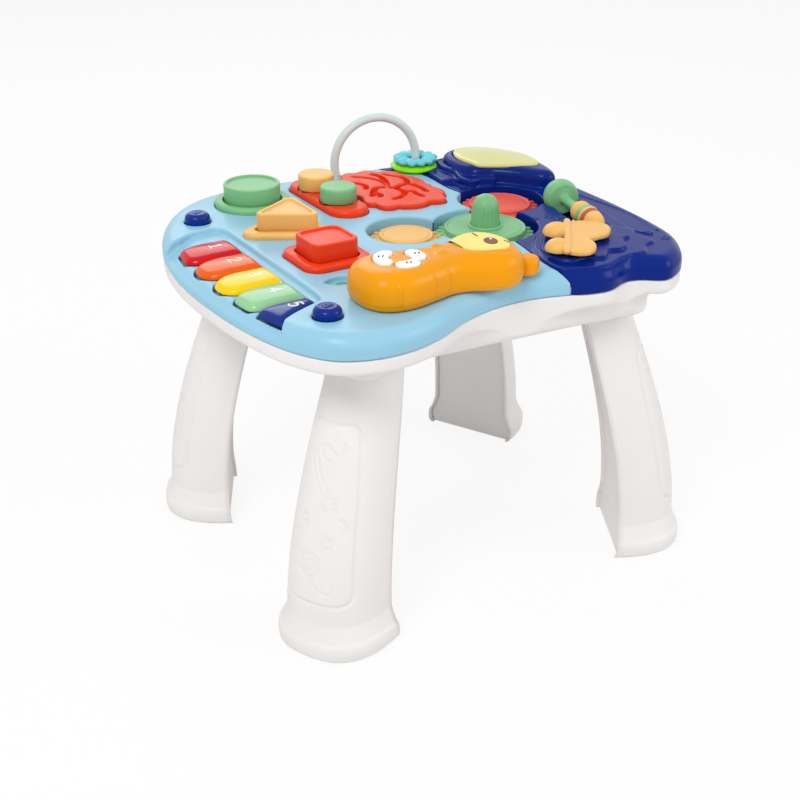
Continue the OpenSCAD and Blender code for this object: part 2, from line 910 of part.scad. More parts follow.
// turn of a gear beside the green one at which its teeth stand in the green one's gaps
function follower_turn(dir, teeth) =
    dir + 180 + (0.5 + (dir - green_turn) * green_teeth / 360) * 360 / teeth;
module gear_green() {
    color(green)
        gear_body(green_at, green_teeth, green_turn, green_plate);
}
module gear_yellow() {
    color(honey)
        gear_body(yellow_at, yellow_teeth, follower_turn(yellow_dir, yellow_teeth), yellow_plate);
}
module gear_red() {
    color(coral)
        gear_body(red_at, red_teeth, follower_turn(red_dir, red_teeth), red_plate);
}
knob_z = tooth_high + green_plate[1] - 0.1;
knob_foot = 5.6;
knob_ribs = 16;
module gear_knob() {
    color(green)
        placed()
            translate([green_at[0], green_at[1], knob_z]) {
                rotate_extrude($fn = 64)
                    polygon([[0, 0], [24, 0], [20, 2.2], [14.5, 3.6], [14.5, knob_foot], [0, knob_foot]]);
                translate([0, 0, knob_foot - 0.2])
                    linear_extrude(knob_h - knob_foot - 7)
                        polygon([
                            for (k = [0:knob_ribs - 1], e = [[-5, 11.6], [-3.6, 12.6], [3.6, 12.6], [5, 11.6]])
                                let (a = k * 360 / knob_ribs + e[0])
                                    e[1] * [cos(a), sin(a)]
                        ]);
                translate([0, 0, knob_h - 8])
                    rotate_extrude($fn = 64)
                        polygon([[0, 0], [11.4, 0], [11, 3], [9.4, 6.6], [6.4, 9.2], [2.6, 10.4], [0, 10.6]]);
            }
}

// keys and buttons
module key_plan(i) {
    y = key_mid_y - (i - 2) * key_pitch;
    h = (key_pitch - key_gap) / 2;
    intersection() {
        translate([0, y])
            polygon([
                [key_in_x, -h], [key_in_x, h], [key_out_x + 14, h],
                [key_out_x + 6, h - 3], [key_out_x + 1.6, h - 8], [key_out_x, h - 14],
                [key_out_x, 14 - h], [key_out_x + 1.6, 8 - h], [key_out_x + 6, 3 - h], [key_out_x + 14, -h]
            ]);
        key_well(-key_side_gap);
    }
}
// side view of a key: level top at the inner end, rounding down to the outer end
module key_side() {
    l = key_in_x - key_out_x;
    polygon(concat(
        [[0, 0], [l + over, 0], [l + over, key_h]],
        [for (a = [90:-15:0]) [l * key_nose * (1 - cos(a)), key_h * (0.25 + 0.75 * sin(a))]]
    ));
}
module key_body(i) {
    color(key_colors[i])
        placed()
            intersection() {
                slab(key_low_z, key_h + over)
                    key_plan(i);
                translate([key_out_x, key_reach, key_low_z])
                    rotate([90, 0, 0])
                        linear_extrude(2 * key_reach)
                            difference() {
                                key_side();
                                translate([key_hinge_x - key_out_x, key_hinge_z - key_low_z])
                                    circle(key_rod_r + run_gap, $fn = 32);
                            }
            }
}
module key_rod_bore(r, y) {
    translate([key_hinge_x, y[0], key_hinge_z])
        rotate([-90, 0, 0])
            cylinder(r = r, h = y[1] - y[0], $fn = 32);
}
key_rod_y = [-101.6, 99.2];
dome_x = -178;
module key_rod() {
    color(steel)
        placed()
            key_rod_bore(key_rod_r, key_rod_y);
}
module key_red() {
    key_body(0);
}
module key_orange() {
    key_body(1);
}
module key_yellow() {
    key_body(2);
}
module key_green() {
    key_body(3);
}
module key_blue() {
    key_body(4);
}
// rubber switch domes under the keys and the buttons
module contact_domes() {
    color(rubber)
        placed() {
            for (i = [0:4])
                translate([dome_x, key_mid_y - (i - 2) * key_pitch + (i == 4 ? 8 : 0), key_floor_z + dome_sink])
                    cylinder(r1 = 4.6, r2 = 2.6, h = 4, $fn = 20);
            for (p = button_at)
                translate([p[0], p[1], button_cup_z + dome_sink])
                    cylinder(r1 = 5, r2 = 3, h = 3.4, $fn = 20);
        }
}
module button_at_place(p) {
    color(button_blue)
        placed()
            translate([p[0], p[1], under_z - fit])
                rotate_extrude($fn = 48)
                    polygon([
                        [0, -6.4], [4, -6.4], [4, -2], [button_r + button_lip, -2], [button_r + button_lip, 0],
                        [button_r, 0],
                        [button_r, 8.4], [button_r - 0.6, 9.6], [button_r - 2.4, 10.6], [button_r - 6, 11.3], [0, 11.6]
                    ]);
}
module button_front() {
    button_at_place(button_at[0]);
}
module button_back() {
    button_at_place(button_at[1]);
}

// sockets and blocks
module socket_round() {
    color(green)
        placed() {
            difference() {
                slab(socket_low, socket_top - socket_low)
                    round_shape(0);
                slab(block_low - fit, block_h)
                    translate(round_at)
                        circle(round_block_r + block_gap, $fn = 64);
            }
        }
}
module block_round() {
    color(green)
        placed()
            difference() {
                slab(block_low, block_top - block_low)
                    translate(round_at)
                        circle(round_block_r, $fn = 64);
                slab(block_top - block_dip, block_h)
                    translate(round_at)
                        circle(round_block_r - block_rim, $fn = 64);
            }
}
module socket_triangle() {
    color(honey)
        placed()
            difference() {
                slab(socket_low, socket_top - socket_low)
                    triangle_shape(triangle_r, triangle_round, 0);
                slab(block_low - fit, block_h)
                    triangle_shape(triangle_block_r, triangle_block_round, block_gap);
            }
}
module block_triangle() {
    color(honey)
        placed()
            difference() {
                slab(block_low, block_top - block_low)
                    triangle_shape(triangle_block_r, triangle_block_round, 0);
                slab(block_top - block_dip, block_h)
                    triangle_shape(triangle_block_r, triangle_block_round, -block_rim);
            }
}
module socket_square() {
    color(tomato)
        placed()
            difference() {
                slab(socket_low, socket_top - socket_low)
                    square_shape(square_w, square_round, 0);
                slab(block_low - fit, block_h)
                    square_shape(square_block_w, square_block_round, block_gap);
            }
}
module block_square() {
    color(tomato)
        placed()
            difference() {
                slab(block_low, block_top - block_low)
                    square_shape(square_block_w, square_block_round, 0);
                slab(block_top - block_dip, block_h)
                    square_shape(square_block_w, square_block_round, -block_rim);
            }
}

// discs and tree plate
module disc_base() {
    color(tomato)
        placed()
            difference() {
                slab(socket_low, disc_base_top - socket_low)
                    disc_base_shape(0);
                for (y = disc_y)
                    translate([disc_x, y, socket_low + floor_t])
                        cylinder(r = disc_stem_r + 0.4, h = deck_rise, $fn = 40);
            }
}
module disc_at(y) {
    placed()
        translate([disc_x, y, disc_base_top - disc_hang])
            rotate_extrude($fn = 56)
                let (low = disc_hang + disc_travel + 0.4)
                    polygon([
                        [0, 0], [disc_stem_r, 0], [disc_stem_r, low], [disc_r, low],
                        [disc_r, low + 5.3], [disc_r - 0.8, low + 6.5], [disc_r - 2.4, low + 7.1], [0, low + 7.1]
                    ]);
}
module disc_yellow() {
    color(honey)
        disc_at(disc_y[1]);
}
module disc_green() {
    color(green)
        disc_at(disc_y[0]);
}
module tree_plate() {
    color(tomato)
        placed()
            difference() {
                slab(socket_low, tree_top - socket_low)
                    tree_shape(0);
                slab(tree_top - groove_deep, 9)
                    offset(r = groove_w / 2, $fn = 16)
                        for (g = grooves)
                            line(g[0], g[1]);
            }
}

// roller and butterfly
module on_roller() {
    translate([ball_at[0], ball_at[1], roller_z])
        rotate(roller_turn)
            rotate([0, 90, 0])
                children();
}
module rod_bore(d) {
    on_roller()
        translate([0, 0, 2 * lug_back])
            cylinder(r = rod_r + d, h = lug_front + lug_t + over - 2 * lug_back, $fn = 32);
}
rod_back = lug_back + rod_in_lug;
rod_front = lug_front + 2;
module roller_rod() {
    color(steel)
        placed()
            on_roller()
                translate([0, 0, rod_back])
                    cylinder(r = rod_r, h = rod_front - rod_back, $fn = 32);
}
// small lugs on the deck that hold the ends of the roller's rod
module rod_ends() {
    for (s = [lug_back, lug_front])
        difference() {
            translate([ball_at[0], ball_at[1], 0])
                rotate(roller_turn)
                    translate([s, -4, under_z + 0.4])
                        cube([lug_t, 8, roller_z + rod_r + lug_cover - under_z - 0.4]);
            rod_bore(0);
        }
}
module roller_ball() {
    color(green)
        placed()
            on_roller()
                difference() {
                    union() {
                        intersection() {
                            sphere(roller_ball_r, $fn = 48);
                            translate([0, 0, -2 * roller_ball_r])
                                cylinder(r = 2 * roller_ball_r, h = 2 * roller_ball_r + ball_flat);
                        }
                        cylinder(r = 3.6, h = ball_stem, $fn = 32);
                    }
                    translate([0, 0, -2 * roller_ball_r])
                        cylinder(r = rod_r + run_gap, h = 2 * roller_len, $fn = 32);
                }
}
module roller_bead() {
    color(honey)
        placed()
            on_roller()
                translate([0, 0, bead_start])
                    difference() {
                        rotate_extrude($fn = 40)
                            polygon([
                                [0, 0], [5, 0], [8, 1.8], [9.6, 5], [9.6, bead_len - 5], [8.2, bead_len - 1.4],
                                [6, bead_len], [0, bead_len]
                            ]);
                        translate([0, 0, -over])
                            cylinder(r = rod_r + run_gap, h = bead_len + 2 * over, $fn = 32);
                    }
}
module roller_taper() {
    color(green)
        placed()
            on_roller()
                translate([0, 0, taper_start])
                    difference() {
                        rotate_extrude($fn = 40)
                            polygon([
                                [0, 0], [7, 0], [10, 2], [10.4, 7], [10, 13], [9, taper_len - 12],
                                [7.4, taper_len - 5], [5, taper_len - 1], [0, taper_len]
                            ]);
                        translate([0, 0, -over])
                            cylinder(r = rod_r + run_gap, h = taper_len + 2 * over, $fn = 32);
                    }
}
module on_fly() {
    translate([fly_at[0], fly_at[1], 0])
        rotate(fly_turn)
            children();
}
module butterfly() {
    color(honey)
        placed()
            on_fly()
                difference() {
                    union() {
                        slab(fly_low, fly_high - fly_low)
                            wings();
                        for (p = [[20, 13, 13], [-19, 12, 12]])
                            translate([p[0], p[1], fly_high - 2])
                                intersection() {
                                    scale([1.15, 0.95, 0.7])
                                        sphere(p[2], $fn = 32);
                                    cylinder(r = 40, h = 30);
                                }
                        translate([-26, -3.4, fly_low - 0.8])
                            cube([52, 6.8, fly_high - fly_low + 2.4]);
                    }
                    translate([-40, 0, fly_pin_z])
                        rotate([0, 90, 0])
                            cylinder(r = fly_pin_r + run_gap, h = 80, $fn = 24);
                }
}
module wings() {
    for (p = [[20, 15, 17], [20, -15, 17], [-20, 13.5, 14], [-20, -13.5, 14]])
        translate([p[0], p[1]])
            circle(p[2], $fn = 40);
    square([44, 12], center = true);
}
module butterfly_pin() {
    color(steel)
        placed()
            on_fly()
                translate([fly_post_x[0] + sink, 0, fly_pin_z])
                    rotate([0, 90, 0])
                        cylinder(r = fly_pin_r, h = fly_post_x[1] + fly_post_t - fly_post_x[0] - 2 * sink, $fn = 24);
}
module fly_posts() {
    on_fly()
        for (x = fly_post_x)
            difference() {
                translate([x, -1.8, plateau_top - 0.5])
                    cube([fly_post_t, 3.6, fly_pin_z - plateau_top + 3]);
                translate([2 * fly_post_x[0], 0, fly_pin_z])
                    rotate([0, 90, 0])
                        cylinder(r = fly_pin_r, h = 4 * fly_post_x[1], $fn = 24);
            }
}

// arch and rings
module on_arch() {
    translate([arch_at[0], arch_at[1], arch_z])
        rotate(arch_turn)
            rotate([90, 0, 0])
                children();
}
module arch() {
    color(ice)
        placed() {
            on_arch() {
                rotate(arch_start)
                    rotate_extrude(angle = 180 - 2 * arch_start, $fn = 96)
                        translate([arch_r, 0])
                            circle(tube_r, $fn = 24);
            }
            for (a = [arch_start, 180 - arch_start])
                translate([arch_at[0], arch_at[1], under_z - 4])
                    rotate(arch_turn)
                        translate([arch_r * cos(a), 0, 0])
                            cylinder(r = tube_r + arch_collar, h = 5.4, $fn = 32);
        }
}
module ring_place(z) {
    translate([arch_at[0], arch_at[1], 0])
        rotate(arch_turn)
            translate([arch_r * cos(asin((z - arch_z) / arch_r)), 0, z])
                children();
}
module ring_body(r) {
    difference() {
        rotate_extrude($fn = 60)
            polygon([
                [6, -1.8], [ring_bore + 2, -ring_half], [r - 3, -ring_half], [r - 0.6, -1.8],
                [r, 0], [r - 0.6, 1.8], [r - 3, ring_half], [ring_bore + 2, ring_half], [6, 1.8]
            ]);
        cylinder(r = ring_bore, h = 20, center = true, $fn = 48);
    }
}
ring_half = 2.9;
bump_r = 3.8;
lime_z = deck_z + ring_half + fit;
aqua_z = lime_z + ring_half + bump_r + fit;
module ring_lime() {
    color(lime)
        placed()
            ring_place(lime_z)
                ring_body(ring_r);
}
module ring_aqua() {
    color(aqua)
        placed()
            ring_place(aqua_z) {
                ring_body(ring_r - 4);
                for (k = [0:11])
                    rotate(k * 30)
                        translate([ring_r - 4.5, 0, 0])
                            sphere(bump_r, $fn = 16);
            }
}

// handset
phone_loop = smooth(
    concat(
        [for (i = [len(phone_points) - 1:-1:0]) phone_points[i]],
        [for (i = [1:len(phone_points) - 2]) [phone_points[i][0], -phone_points[i][1]]]
    ),
    2
);
// inset and height of the handset's skin above its split line
phone_skin = [[0, 0], [0.5, 6.5], [2.4, 12.4], [6, 16.6], [11.5, 19], [19, 19.8]];
phone_belly = [[0, 0], [1.2, 5], [4.5, 8.6], [10, 9.9]];
function phone_rings(rows, k, d) = [
    for (r = rows)
        at_z(inward(phone_loop, r[0] + d), max(0, r[1] * k - d * min(1, r[1] / 5)))
];
module phone_shell(rows, k) {
    cup(phone_rings(rows, k, 0), phone_rings(rows, k, phone_wall));
}
module on_phone(z) {
    translate([phone_mid[0], phone_mid[1], phone_z + z])
        children();
}
module phone_top() {
    color(amber)
        placed()
            difference() {
                on_phone(phone_split) {
                    phone_shell(phone_skin, (phone_h - phone_split) / 20);
                    translate([86, -14, 0])
                        cylinder(r = 11, h = 13, $fn = 32);
                }
                for (a = petal_turns)
                    petal_hole(a);
                translate([0, 0, face_z])
                    linear_extrude(9)
                        face_shape(0);
            }
}
module phone_bottom() {
    color(amber)
        placed()
            on_phone(phone_split - 0.1)
                mirror([0, 0, 1])
                    phone_shell(phone_belly, (phone_split - 0.1) / 10);
}
face_at = [-12, -121];
face_z = phone_z + phone_h - 1.8;
module face_shape(d) {
    translate(face_at)
        scale([1, 1.12])
            circle(20 + d, $fn = 48);
}
module phone_face() {
    color(cream)
        placed()
            translate([face_at[0], face_at[1], face_z])
                for (s = [[19.7, 2.4], [18.4, 3.2], [15.5, 3.8]])
                    linear_extrude(s[1])
                        scale([1, 1.12])
                            circle(s[0], $fn = 48);
}
petal_at = [-91, -125];
petal_turns = [20, 142, 262];
petal_z = phone_z + phone_h - 6.6;
petal_out = 14;
petal_r = 6.4;
petal_span = 22;
petal_h = 7.6;
petal_lip = 1.2;
petal_gap = 0.4;
// bean that bends round the middle of the three petals
module petal_plan(a, d) {
    r = petal_r + d;
    s = petal_span;
    translate(petal_at)
        rotate(a)
            polygon(concat(
                [for (b = [-s:11:s]) (petal_out + r) * ray(b)],
                [for (e = [30:30:150]) petal_out * ray(s) + r * ray(s + e)],
                [for (b = [s:-11:-s]) (petal_out - r) * ray(b)],
                [for (e = [210:30:330]) petal_out * ray(-s) + r * ray(e - s)]
            ));
}
module petal_hole(a) {
    translate([0, 0, petal_z])
        linear_extrude(20)
            petal_plan(a, petal_gap);
}
module petal_body(a) {
    color(petal_white)
        placed() {
            translate([0, 0, petal_z + 1])
                linear_extrude(petal_h)
                    petal_plan(a, 0);
            translate([0, 0, petal_z])
                linear_extrude(petal_lip + sink)
                    petal_plan(a, petal_lip);
        }
}
module petal_left() {
    petal_body(petal_turns[1]);
}
module petal_right() {
    petal_body(petal_turns[0]);
}
module petal_front() {
    petal_body(petal_turns[2]);
}
module phone_board() {
    color(board_green)
        placed()
            on_phone(phone_split + 2) {
                translate([-62, -14, 0])
                    cube([90, 28, 1.6]);
                for (x = [-50, 20])
                    translate([x, 0, -9.2])
                        cylinder(r = 3, h = 9.6, $fn = 20);
            }
}

// inner parts
box_at = [-10, 10];
bay = [92, 66];
bay_round = 5;
box_h = 20;
board_t = 1.6;
board_size = [90, 60];
board_foot = 1;
board_z = tray_z + wall + box_h + board_foot;
door_gap = 0.4;
door_screw_at = [28, 10];
speaker_at = [100, 20];
module battery_hole() {
    translate(box_at)
        rounded(bay[0], bay[1], bay_round);
}
module speaker_holes() {
    for (x = [-12:6:12], y = [-12:6:12])
        translate([speaker_at[0] + x, speaker_at[1] + y, tray_z - over])
            cylinder(r = 1.5, h = wall + 2 * over, $fn = 12);
}
module battery_box() {
    color(white)
        placed()
            difference() {
                slab(tray_z + wall, box_h)
                    translate(box_at)
                        rounded(bay[0] + 10, bay[1] + 10, bay_round);
                slab(tray_z + wall - over, box_h - over)
                    battery_hole();
            }
}
module batteries() {
    color(steel)
        placed()
            for (y = [-16, 0, 16])
                translate([box_at[0] - 25, box_at[1] + y, tray_z + wall + 7.5])
                    rotate([0, 90, 0])
                        union() {
                            cylinder(r = 7.2, h = 49, $fn = 32);
                            translate([0, 0, 49])
                                cylinder(r = 2.6, h = 1, $fn = 20);
                        }
}
module battery_door() {
    color(white)
        placed()
            difference() {
                slab(tray_z, wall)
                    translate(box_at)
                        rounded(bay[0] - 2 * door_gap, bay[1] - 2 * door_gap, bay_round - door_gap);
                translate([door_screw_at[0], door_screw_at[1], tray_z - over])
                    cylinder(r = 1.9, h = wall + 2 * over, $fn = 20);
            }
}
module circuit_board() {
    color(board_green)
        placed() {
            translate([box_at[0] - board_size[0] / 2, box_at[1] - board_size[1] / 2, board_z])
                cube([board_size[0], board_size[1], board_t]);
            translate([box_at[0] - 10, box_at[1] - 10, board_z + board_t - sink])
                cube([16, 16, 3]);
            for (x = [-38, 38], y = [-23, 23])
                translate([box_at[0] + x, box_at[1] + y, tray_z + wall + box_h + 0.02])
                    cylinder(r = 2.4, h = board_foot + sink, $fn = 16);
        }
}
module speaker() {
    color(black)
        placed()
            translate([speaker_at[0], speaker_at[1], tray_z + wall])
                rotate_extrude($fn = 40)
                    polygon([[0, 0], [20, 0], [20, 3], [17, 4], [10, 9], [10, 15], [0, 15]]);
}
module screw(p, l) {
    translate([p[0], p[1], tray_z - screw_head]) {
        cylinder(r = 3.4, h = screw_head, $fn = 20);
        cylinder(r = screw_r, h = l, $fn = 16);
    }
}
module screws() {
    color(steel)
        placed() {
            for (p = boss_at)
                screw(p, 24);
            screw(door_screw_at, 8);
        }
}

tray();
panel_pale();
panel_navy();
leg_front_left();
leg_front_right();
leg_back_left();
leg_back_right();
leg_plate_front_left();
leg_plate_front_right();
leg_plate_back_left();
leg_plate_back_right();
gear_floor();
gear_green();
gear_knob();
gear_yellow();
gear_red();
key_red();
key_orange();
key_yellow();
key_green();
key_blue();
key_rod();
contact_domes();
button_front();
button_back();
socket_round();
socket_triangle();
socket_square();
block_round();
block_triangle();
block_square();
disc_base();
disc_yellow();
disc_green();
tree_plate();
lens();
eye_lens();
roller_rod();
roller_ball();
roller_bead();
roller_taper();
butterfly();
butterfly_pin();
arch();
ring_lime();
ring_aqua();
phone_top();
phone_bottom();
phone_face();
phone_board();
petal_left();
petal_right();
petal_front();
circuit_board();
speaker();
battery_box();
batteries();
battery_door();
screws();
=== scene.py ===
"""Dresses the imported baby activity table: moulded panels, legs, toys and their plastics.

Plan sizes are millimetres in the table's own drawing, and MM and MIDDLE take them to the frame.
"""

import json
from math import cos, pi, radians, sin

import bpy
import numpy as np
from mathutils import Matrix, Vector


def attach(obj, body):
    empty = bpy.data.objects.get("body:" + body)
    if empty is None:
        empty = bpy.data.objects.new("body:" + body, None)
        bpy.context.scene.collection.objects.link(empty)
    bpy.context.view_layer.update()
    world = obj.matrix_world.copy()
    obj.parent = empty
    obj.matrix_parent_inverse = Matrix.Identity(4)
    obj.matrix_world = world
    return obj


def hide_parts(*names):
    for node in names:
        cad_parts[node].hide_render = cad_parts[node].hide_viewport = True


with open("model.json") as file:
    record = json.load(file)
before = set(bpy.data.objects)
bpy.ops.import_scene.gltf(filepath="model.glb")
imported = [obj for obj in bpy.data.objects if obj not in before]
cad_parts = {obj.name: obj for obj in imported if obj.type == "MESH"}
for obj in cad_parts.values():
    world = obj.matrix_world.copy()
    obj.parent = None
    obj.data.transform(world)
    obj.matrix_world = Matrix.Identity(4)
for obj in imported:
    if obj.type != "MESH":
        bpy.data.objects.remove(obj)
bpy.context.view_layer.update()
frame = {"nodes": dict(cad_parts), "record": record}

MM = 0.001
MIDDLE = (-2.93, 5.94)

# heights of the table, and how far down or up the deck's hollows and housing reach
SEAM, DECK, TRAY_LOW = 276.0, 296.0, 240.0
RIM_W, RIM_BEND = 12.0, 13.0
KEY_FLOOR, KEY_SLOT_LOW, BUTTON_LOW = DECK - 5, DECK - 15, DECK - 12
SEAT_LOW, ARCH_SEAT_LOW, EYE_FLOOR = DECK - 6.5, DECK - 6, DECK - 7
HOUSE_TOP, LENS_SEAT = DECK + 17, DECK + 14.4
PANEL_GAP = 0.2


# places in the frame
def metres(points):
    """Points of the drawing, in millimetres, as frame points in metres."""
    return (np.array(points, float).reshape(-1, 3) - [*MIDDLE, 0.0]) * MM


def put(name, data):
    """A new object in the scene."""
    obj = bpy.data.objects.new(name, data)
    bpy.context.scene.collection.objects.link(obj)
    return obj


# camera, first of all
def make_camera():
    data = bpy.data.cameras.new("view")
    data.sensor_width = 36.0
    data.lens = 61.83
    data.clip_end = 50.0
    cam = put("view", data)
    cam.location = metres([(-607.0, -987.2, 705.2)])[0]
    cam.rotation_euler = (radians(90 - 26.51), 0, radians(-30.84))
    bpy.context.scene.camera = cam


make_camera()


# materials
def srgb(r, g, b):
    """Linear colour from 0 to 255 screen values."""
    out = []
    for c in (r, g, b):
        c /= 255
        out.append(c / 12.92 if c <= 0.04045 else ((c + 0.055) / 1.055) ** 2.4)
    return (*out, 1.0)


def fill(tree, node, values, links):
    """Sets some of a shader node's inputs and links others."""
    for key, value in values.items():
        node.inputs[key].default_value = value
    for key, socket in links.items():
        tree.links.new(socket, node.inputs[key])
    return node


def add(tree, kind, values, links):
    return fill(tree, tree.nodes.new("ShaderNode" + kind), values, links)


def noise(tree, coord, scale, detail):
    values = {"Scale": scale, "Detail": detail}
    return add(tree, "TexNoise", values, {"Vector": coord.outputs["Object"]}).outputs["Fac"]


def spread(tree, value, low, high):
    values = {"From Min": 0.3, "From Max": 0.7, "To Min": low, "To Max": high}
    return add(tree, "MapRange", values, {"Value": value}).outputs["Result"]


def shade(color, k):
    return tuple(min(1.0, c * k) for c in color[:3]) + (1.0,)


def plastic(name, rgb, rough, coat=0.0, grain=0.03, tint=0.05, metal=0.0, shine=0.2):
    """Moulded plastic: slightly uneven colour and gloss over a fine moulded skin."""
    mat = bpy.data.materials.new(name)
    mat.use_nodes = True
    tree = mat.node_tree
    color = srgb(*rgb)
    coord = tree.nodes.new("ShaderNodeTexCoord")
    ramp = add(tree, "ValToRGB", {}, {"Fac": noise(tree, coord, 14, 3)})
    for stop, position, k in zip(ramp.color_ramp.elements, (0.3, 0.7), (1 - tint, 1 + tint)):
        stop.position, stop.color = position, shade(color, k)
    values = {"Strength": grain, "Distance": 0.0004}
    bump = add(tree, "Bump", values, {"Height": noise(tree, coord, 420, 2)})
    gloss = spread(tree, noise(tree, coord, 22, 1), rough - 0.015, rough + 0.015)
    values = {"Specular IOR Level": shine, "Coat Weight": coat, "Coat Roughness": 0.08, "Metallic": metal}
    links = {"Base Color": ramp.outputs["Color"], "Roughness": gloss, "Normal": bump.outputs["Normal"]}
    fill(tree, tree.nodes["Principled BSDF"], values, links)
    return mat


# each look: name, screen colour, roughness and what sets it apart from plain plastic
GLOSSY = dict(coat=0.16, grain=0.005, shine=0.12)
LOOKS = {
    "white": ("white_plastic", (231, 228, 226), 0.42, dict(grain=0.04, tint=0.012)),
    "pale_blue": ("pale_blue_plastic", (146, 196, 219), 0.3, dict(tint=0.02, grain=0.015)),
    "navy": ("navy_plastic", (2, 34, 122), 0.2, dict(coat=0.05, tint=0.06, grain=0.01, shine=0.09)),
    "amber": ("amber_plastic", (234, 152, 0), 0.26, dict(coat=0.08, tint=0.03, grain=0.01, shine=0.14)),
    "sage": ("sage_plastic", (124, 186, 132), 0.34, {}),
    "honey": ("honey_plastic", (236, 184, 104), 0.34, {}),
    "coral": ("coral_plastic", (230, 92, 72), 0.36, {}),
    "tomato": ("tomato_plastic", (230, 62, 24), 0.32, {}),
    "cream": ("cream_plastic", (244, 222, 122), 0.34, {}),
    "petal": ("petal_plastic", (244, 242, 238), 0.3, dict(tint=0.02)),
    "key_red": ("red_gloss", (198, 8, 18), 0.12, GLOSSY),
    "key_orange": ("orange_gloss", (228, 92, 4), 0.12, GLOSSY),
    "key_yellow": ("yellow_gloss", (248, 204, 6), 0.12, GLOSSY),
    "key_green": ("mint_gloss", (146, 200, 150), 0.12, GLOSSY),
    "key_blue": ("blue_gloss", (0, 42, 128), 0.12, GLOSSY),
    "button": ("button_gloss", (0, 40, 130), 0.16, dict(coat=0.14, grain=0.01, shine=0.12)),
    "lens": ("lens_gloss", (216, 214, 142), 0.22, dict(coat=0.2)),
    "teal": ("teal_gloss", (70, 160, 120), 0.2, dict(coat=0.3)),
    "lime": ("lime_plastic", (140, 224, 10), 0.3, {}),
    "aqua": ("aqua_plastic", (110, 206, 220), 0.3, {}),
    "ice": ("ice_plastic", (206, 220, 218), 0.34, dict(tint=0.02)),
    "brown": ("brown_print", (120, 62, 24), 0.3, {}),
    "print": ("white_print", (240, 240, 240), 0.4, dict(tint=0.01)),
    "stripe": ("stripe_print", (178, 92, 50), 0.4, {}),
    "steel": ("steel", (190, 190, 192), 0.25, dict(metal=1.0)),
    "board": ("board", (24, 110, 56), 0.5, {}),
    "rubber": ("rubber", (180, 180, 176), 0.6, {}),
    "black": ("black_plastic", (30, 30, 32), 0.5, {}),
    "box": ("box_plastic", (220, 220, 216), 0.5, {}),
    "cell": ("cell_metal", (150, 152, 156), 0.35, dict(metal=0.6)),
}
MATERIALS = {key: plastic(*look, **extra) for key, (*look, extra) in LOOKS.items()}


def dress_cad_nodes():
    """Gives every CAD node the plastic of its slot."""
    for part in frame["record"]["subparts"]:
        obj = frame["nodes"].get(part["node"])
        if obj is not None:
            obj.data.materials.clear()
            obj.data.materials.append(MATERIALS[part["material_slot"]])


dress_cad_nodes()


# mesh making
def build(name, points, faces, body, slot, nodes=(), look=None):
    """A smooth-shaded piece from points in drawing millimetres and quads."""
    verts = metres(points)
    faces = np.asarray(faces, np.int32)
    a, b, c, d = (verts[faces[:, k]] for k in range(4))
    if np.sum(a * np.cross(b, c) + a * np.cross(c, d)) < 0:
        faces = faces[:, ::-1]
    mesh = bpy.data.meshes.new(name)
    mesh.vertices.add(len(verts))
    mesh.vertices.foreach_set("co", verts.astype(np.float32).ravel())
    mesh.loops.add(faces.size)
    mesh.loops.foreach_set("vertex_index", faces.ravel())
    mesh.polygons.add(len(faces))
    mesh.polygons.foreach_set("loop_start", np.arange(0, faces.size, 4, dtype=np.int32))
    mesh.polygons.foreach_set("use_smooth", np.ones(len(faces), bool))
    mesh.update(calc_edges=True)
    mesh.validate()
    mesh.materials.append(MATERIALS[look or slot])
    obj = put(name, mesh)
    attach(obj, body)
    if nodes:
        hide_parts(*nodes)
    return obj


def between(a, b, c, d, t):
    return 0.5 * (2 * b + (c - a) * t + (2 * a - 5 * b + 4 * c - d) * t * t + (3 * b - a - 3 * c + d) * t**3)


def smooth(points, n, closed=True):
    """Curve through the points, n steps from each to the next."""
    p = np.array(points, float)
    m = len(p)
    out = []
    for i in range(m if closed else m - 1):
        if closed:
            a, b, c, d = p[i - 1], p[i], p[(i + 1) % m], p[(i + 2) % m]
        else:
            a, b, c, d = p[max(i - 1, 0)], p[i], p[i + 1], p[min(i + 2, m - 1)]
        out += [between(a, b, c, d, k / n) for k in range(n)]
    if not closed:
        out.append(p[-1])
    return np.array(out)


def stroke(points, n=5):
    """The same for an open line."""
    return smooth(points, n, False)


def normed(rows):
    return rows / np.linalg.norm(rows, axis=1)[:, None]


def inward(curve, d):
    """A closed counter-clockwise curve moved in by d."""
    t = normed(np.roll(curve, -1, 0) - np.roll(curve, 1, 0))
    return curve + d * np.stack([-t[:, 1], t[:, 0]], 1)


def bands(m, n, loop=False):
    """Quads between m rings of n points."""
    i = np.arange(n)
    j = (i + 1) % n
    return [np.stack([a * n + i, a * n + j, (a + 1) % m * n + j, (a + 1) % m * n + i], 1)
            for a in range(m if loop else m - 1)]


def loft(rings, loop=False):
    """Points and quads through rings of one even length, closed by fans of quads or into a loop."""
    r = np.asarray(rings, float)
    m, n = r.shape[:2]
    pts = r.reshape(-1, 3)
    quads = bands(m, n, loop)
    if loop:
        return pts, np.vstack(quads)
    half = np.arange(0, n, 2)
    k1, k2 = (half + 1) % n, (half + 2) % n
    last = (m - 1) * n
    quads.append(np.stack([np.full(len(half), m * n), k2, k1, half], 1))
    quads.append(np.stack([np.full(len(half), m * n + 1), last + half, last + k1, last + k2], 1))
    return np.vstack([pts, r[0].mean(0), r[-1].mean(0)]), np.vstack(quads)


def level(outline, z):
    return np.column_stack([outline, np.full(len(outline), z)])


def moulded(rows):
    """A solid through (outline, z) rows."""
    return loft([level(outline, z) for outline, z in rows])


def around(at, radius, a):
    """Points at some angles around a place."""
    return np.column_stack([at[0] + radius * np.cos(a), at[1] + radius * np.sin(a)])


def circle(at, r, n=96):
    return around(at, r, np.arange(n) * 2 * pi / n)


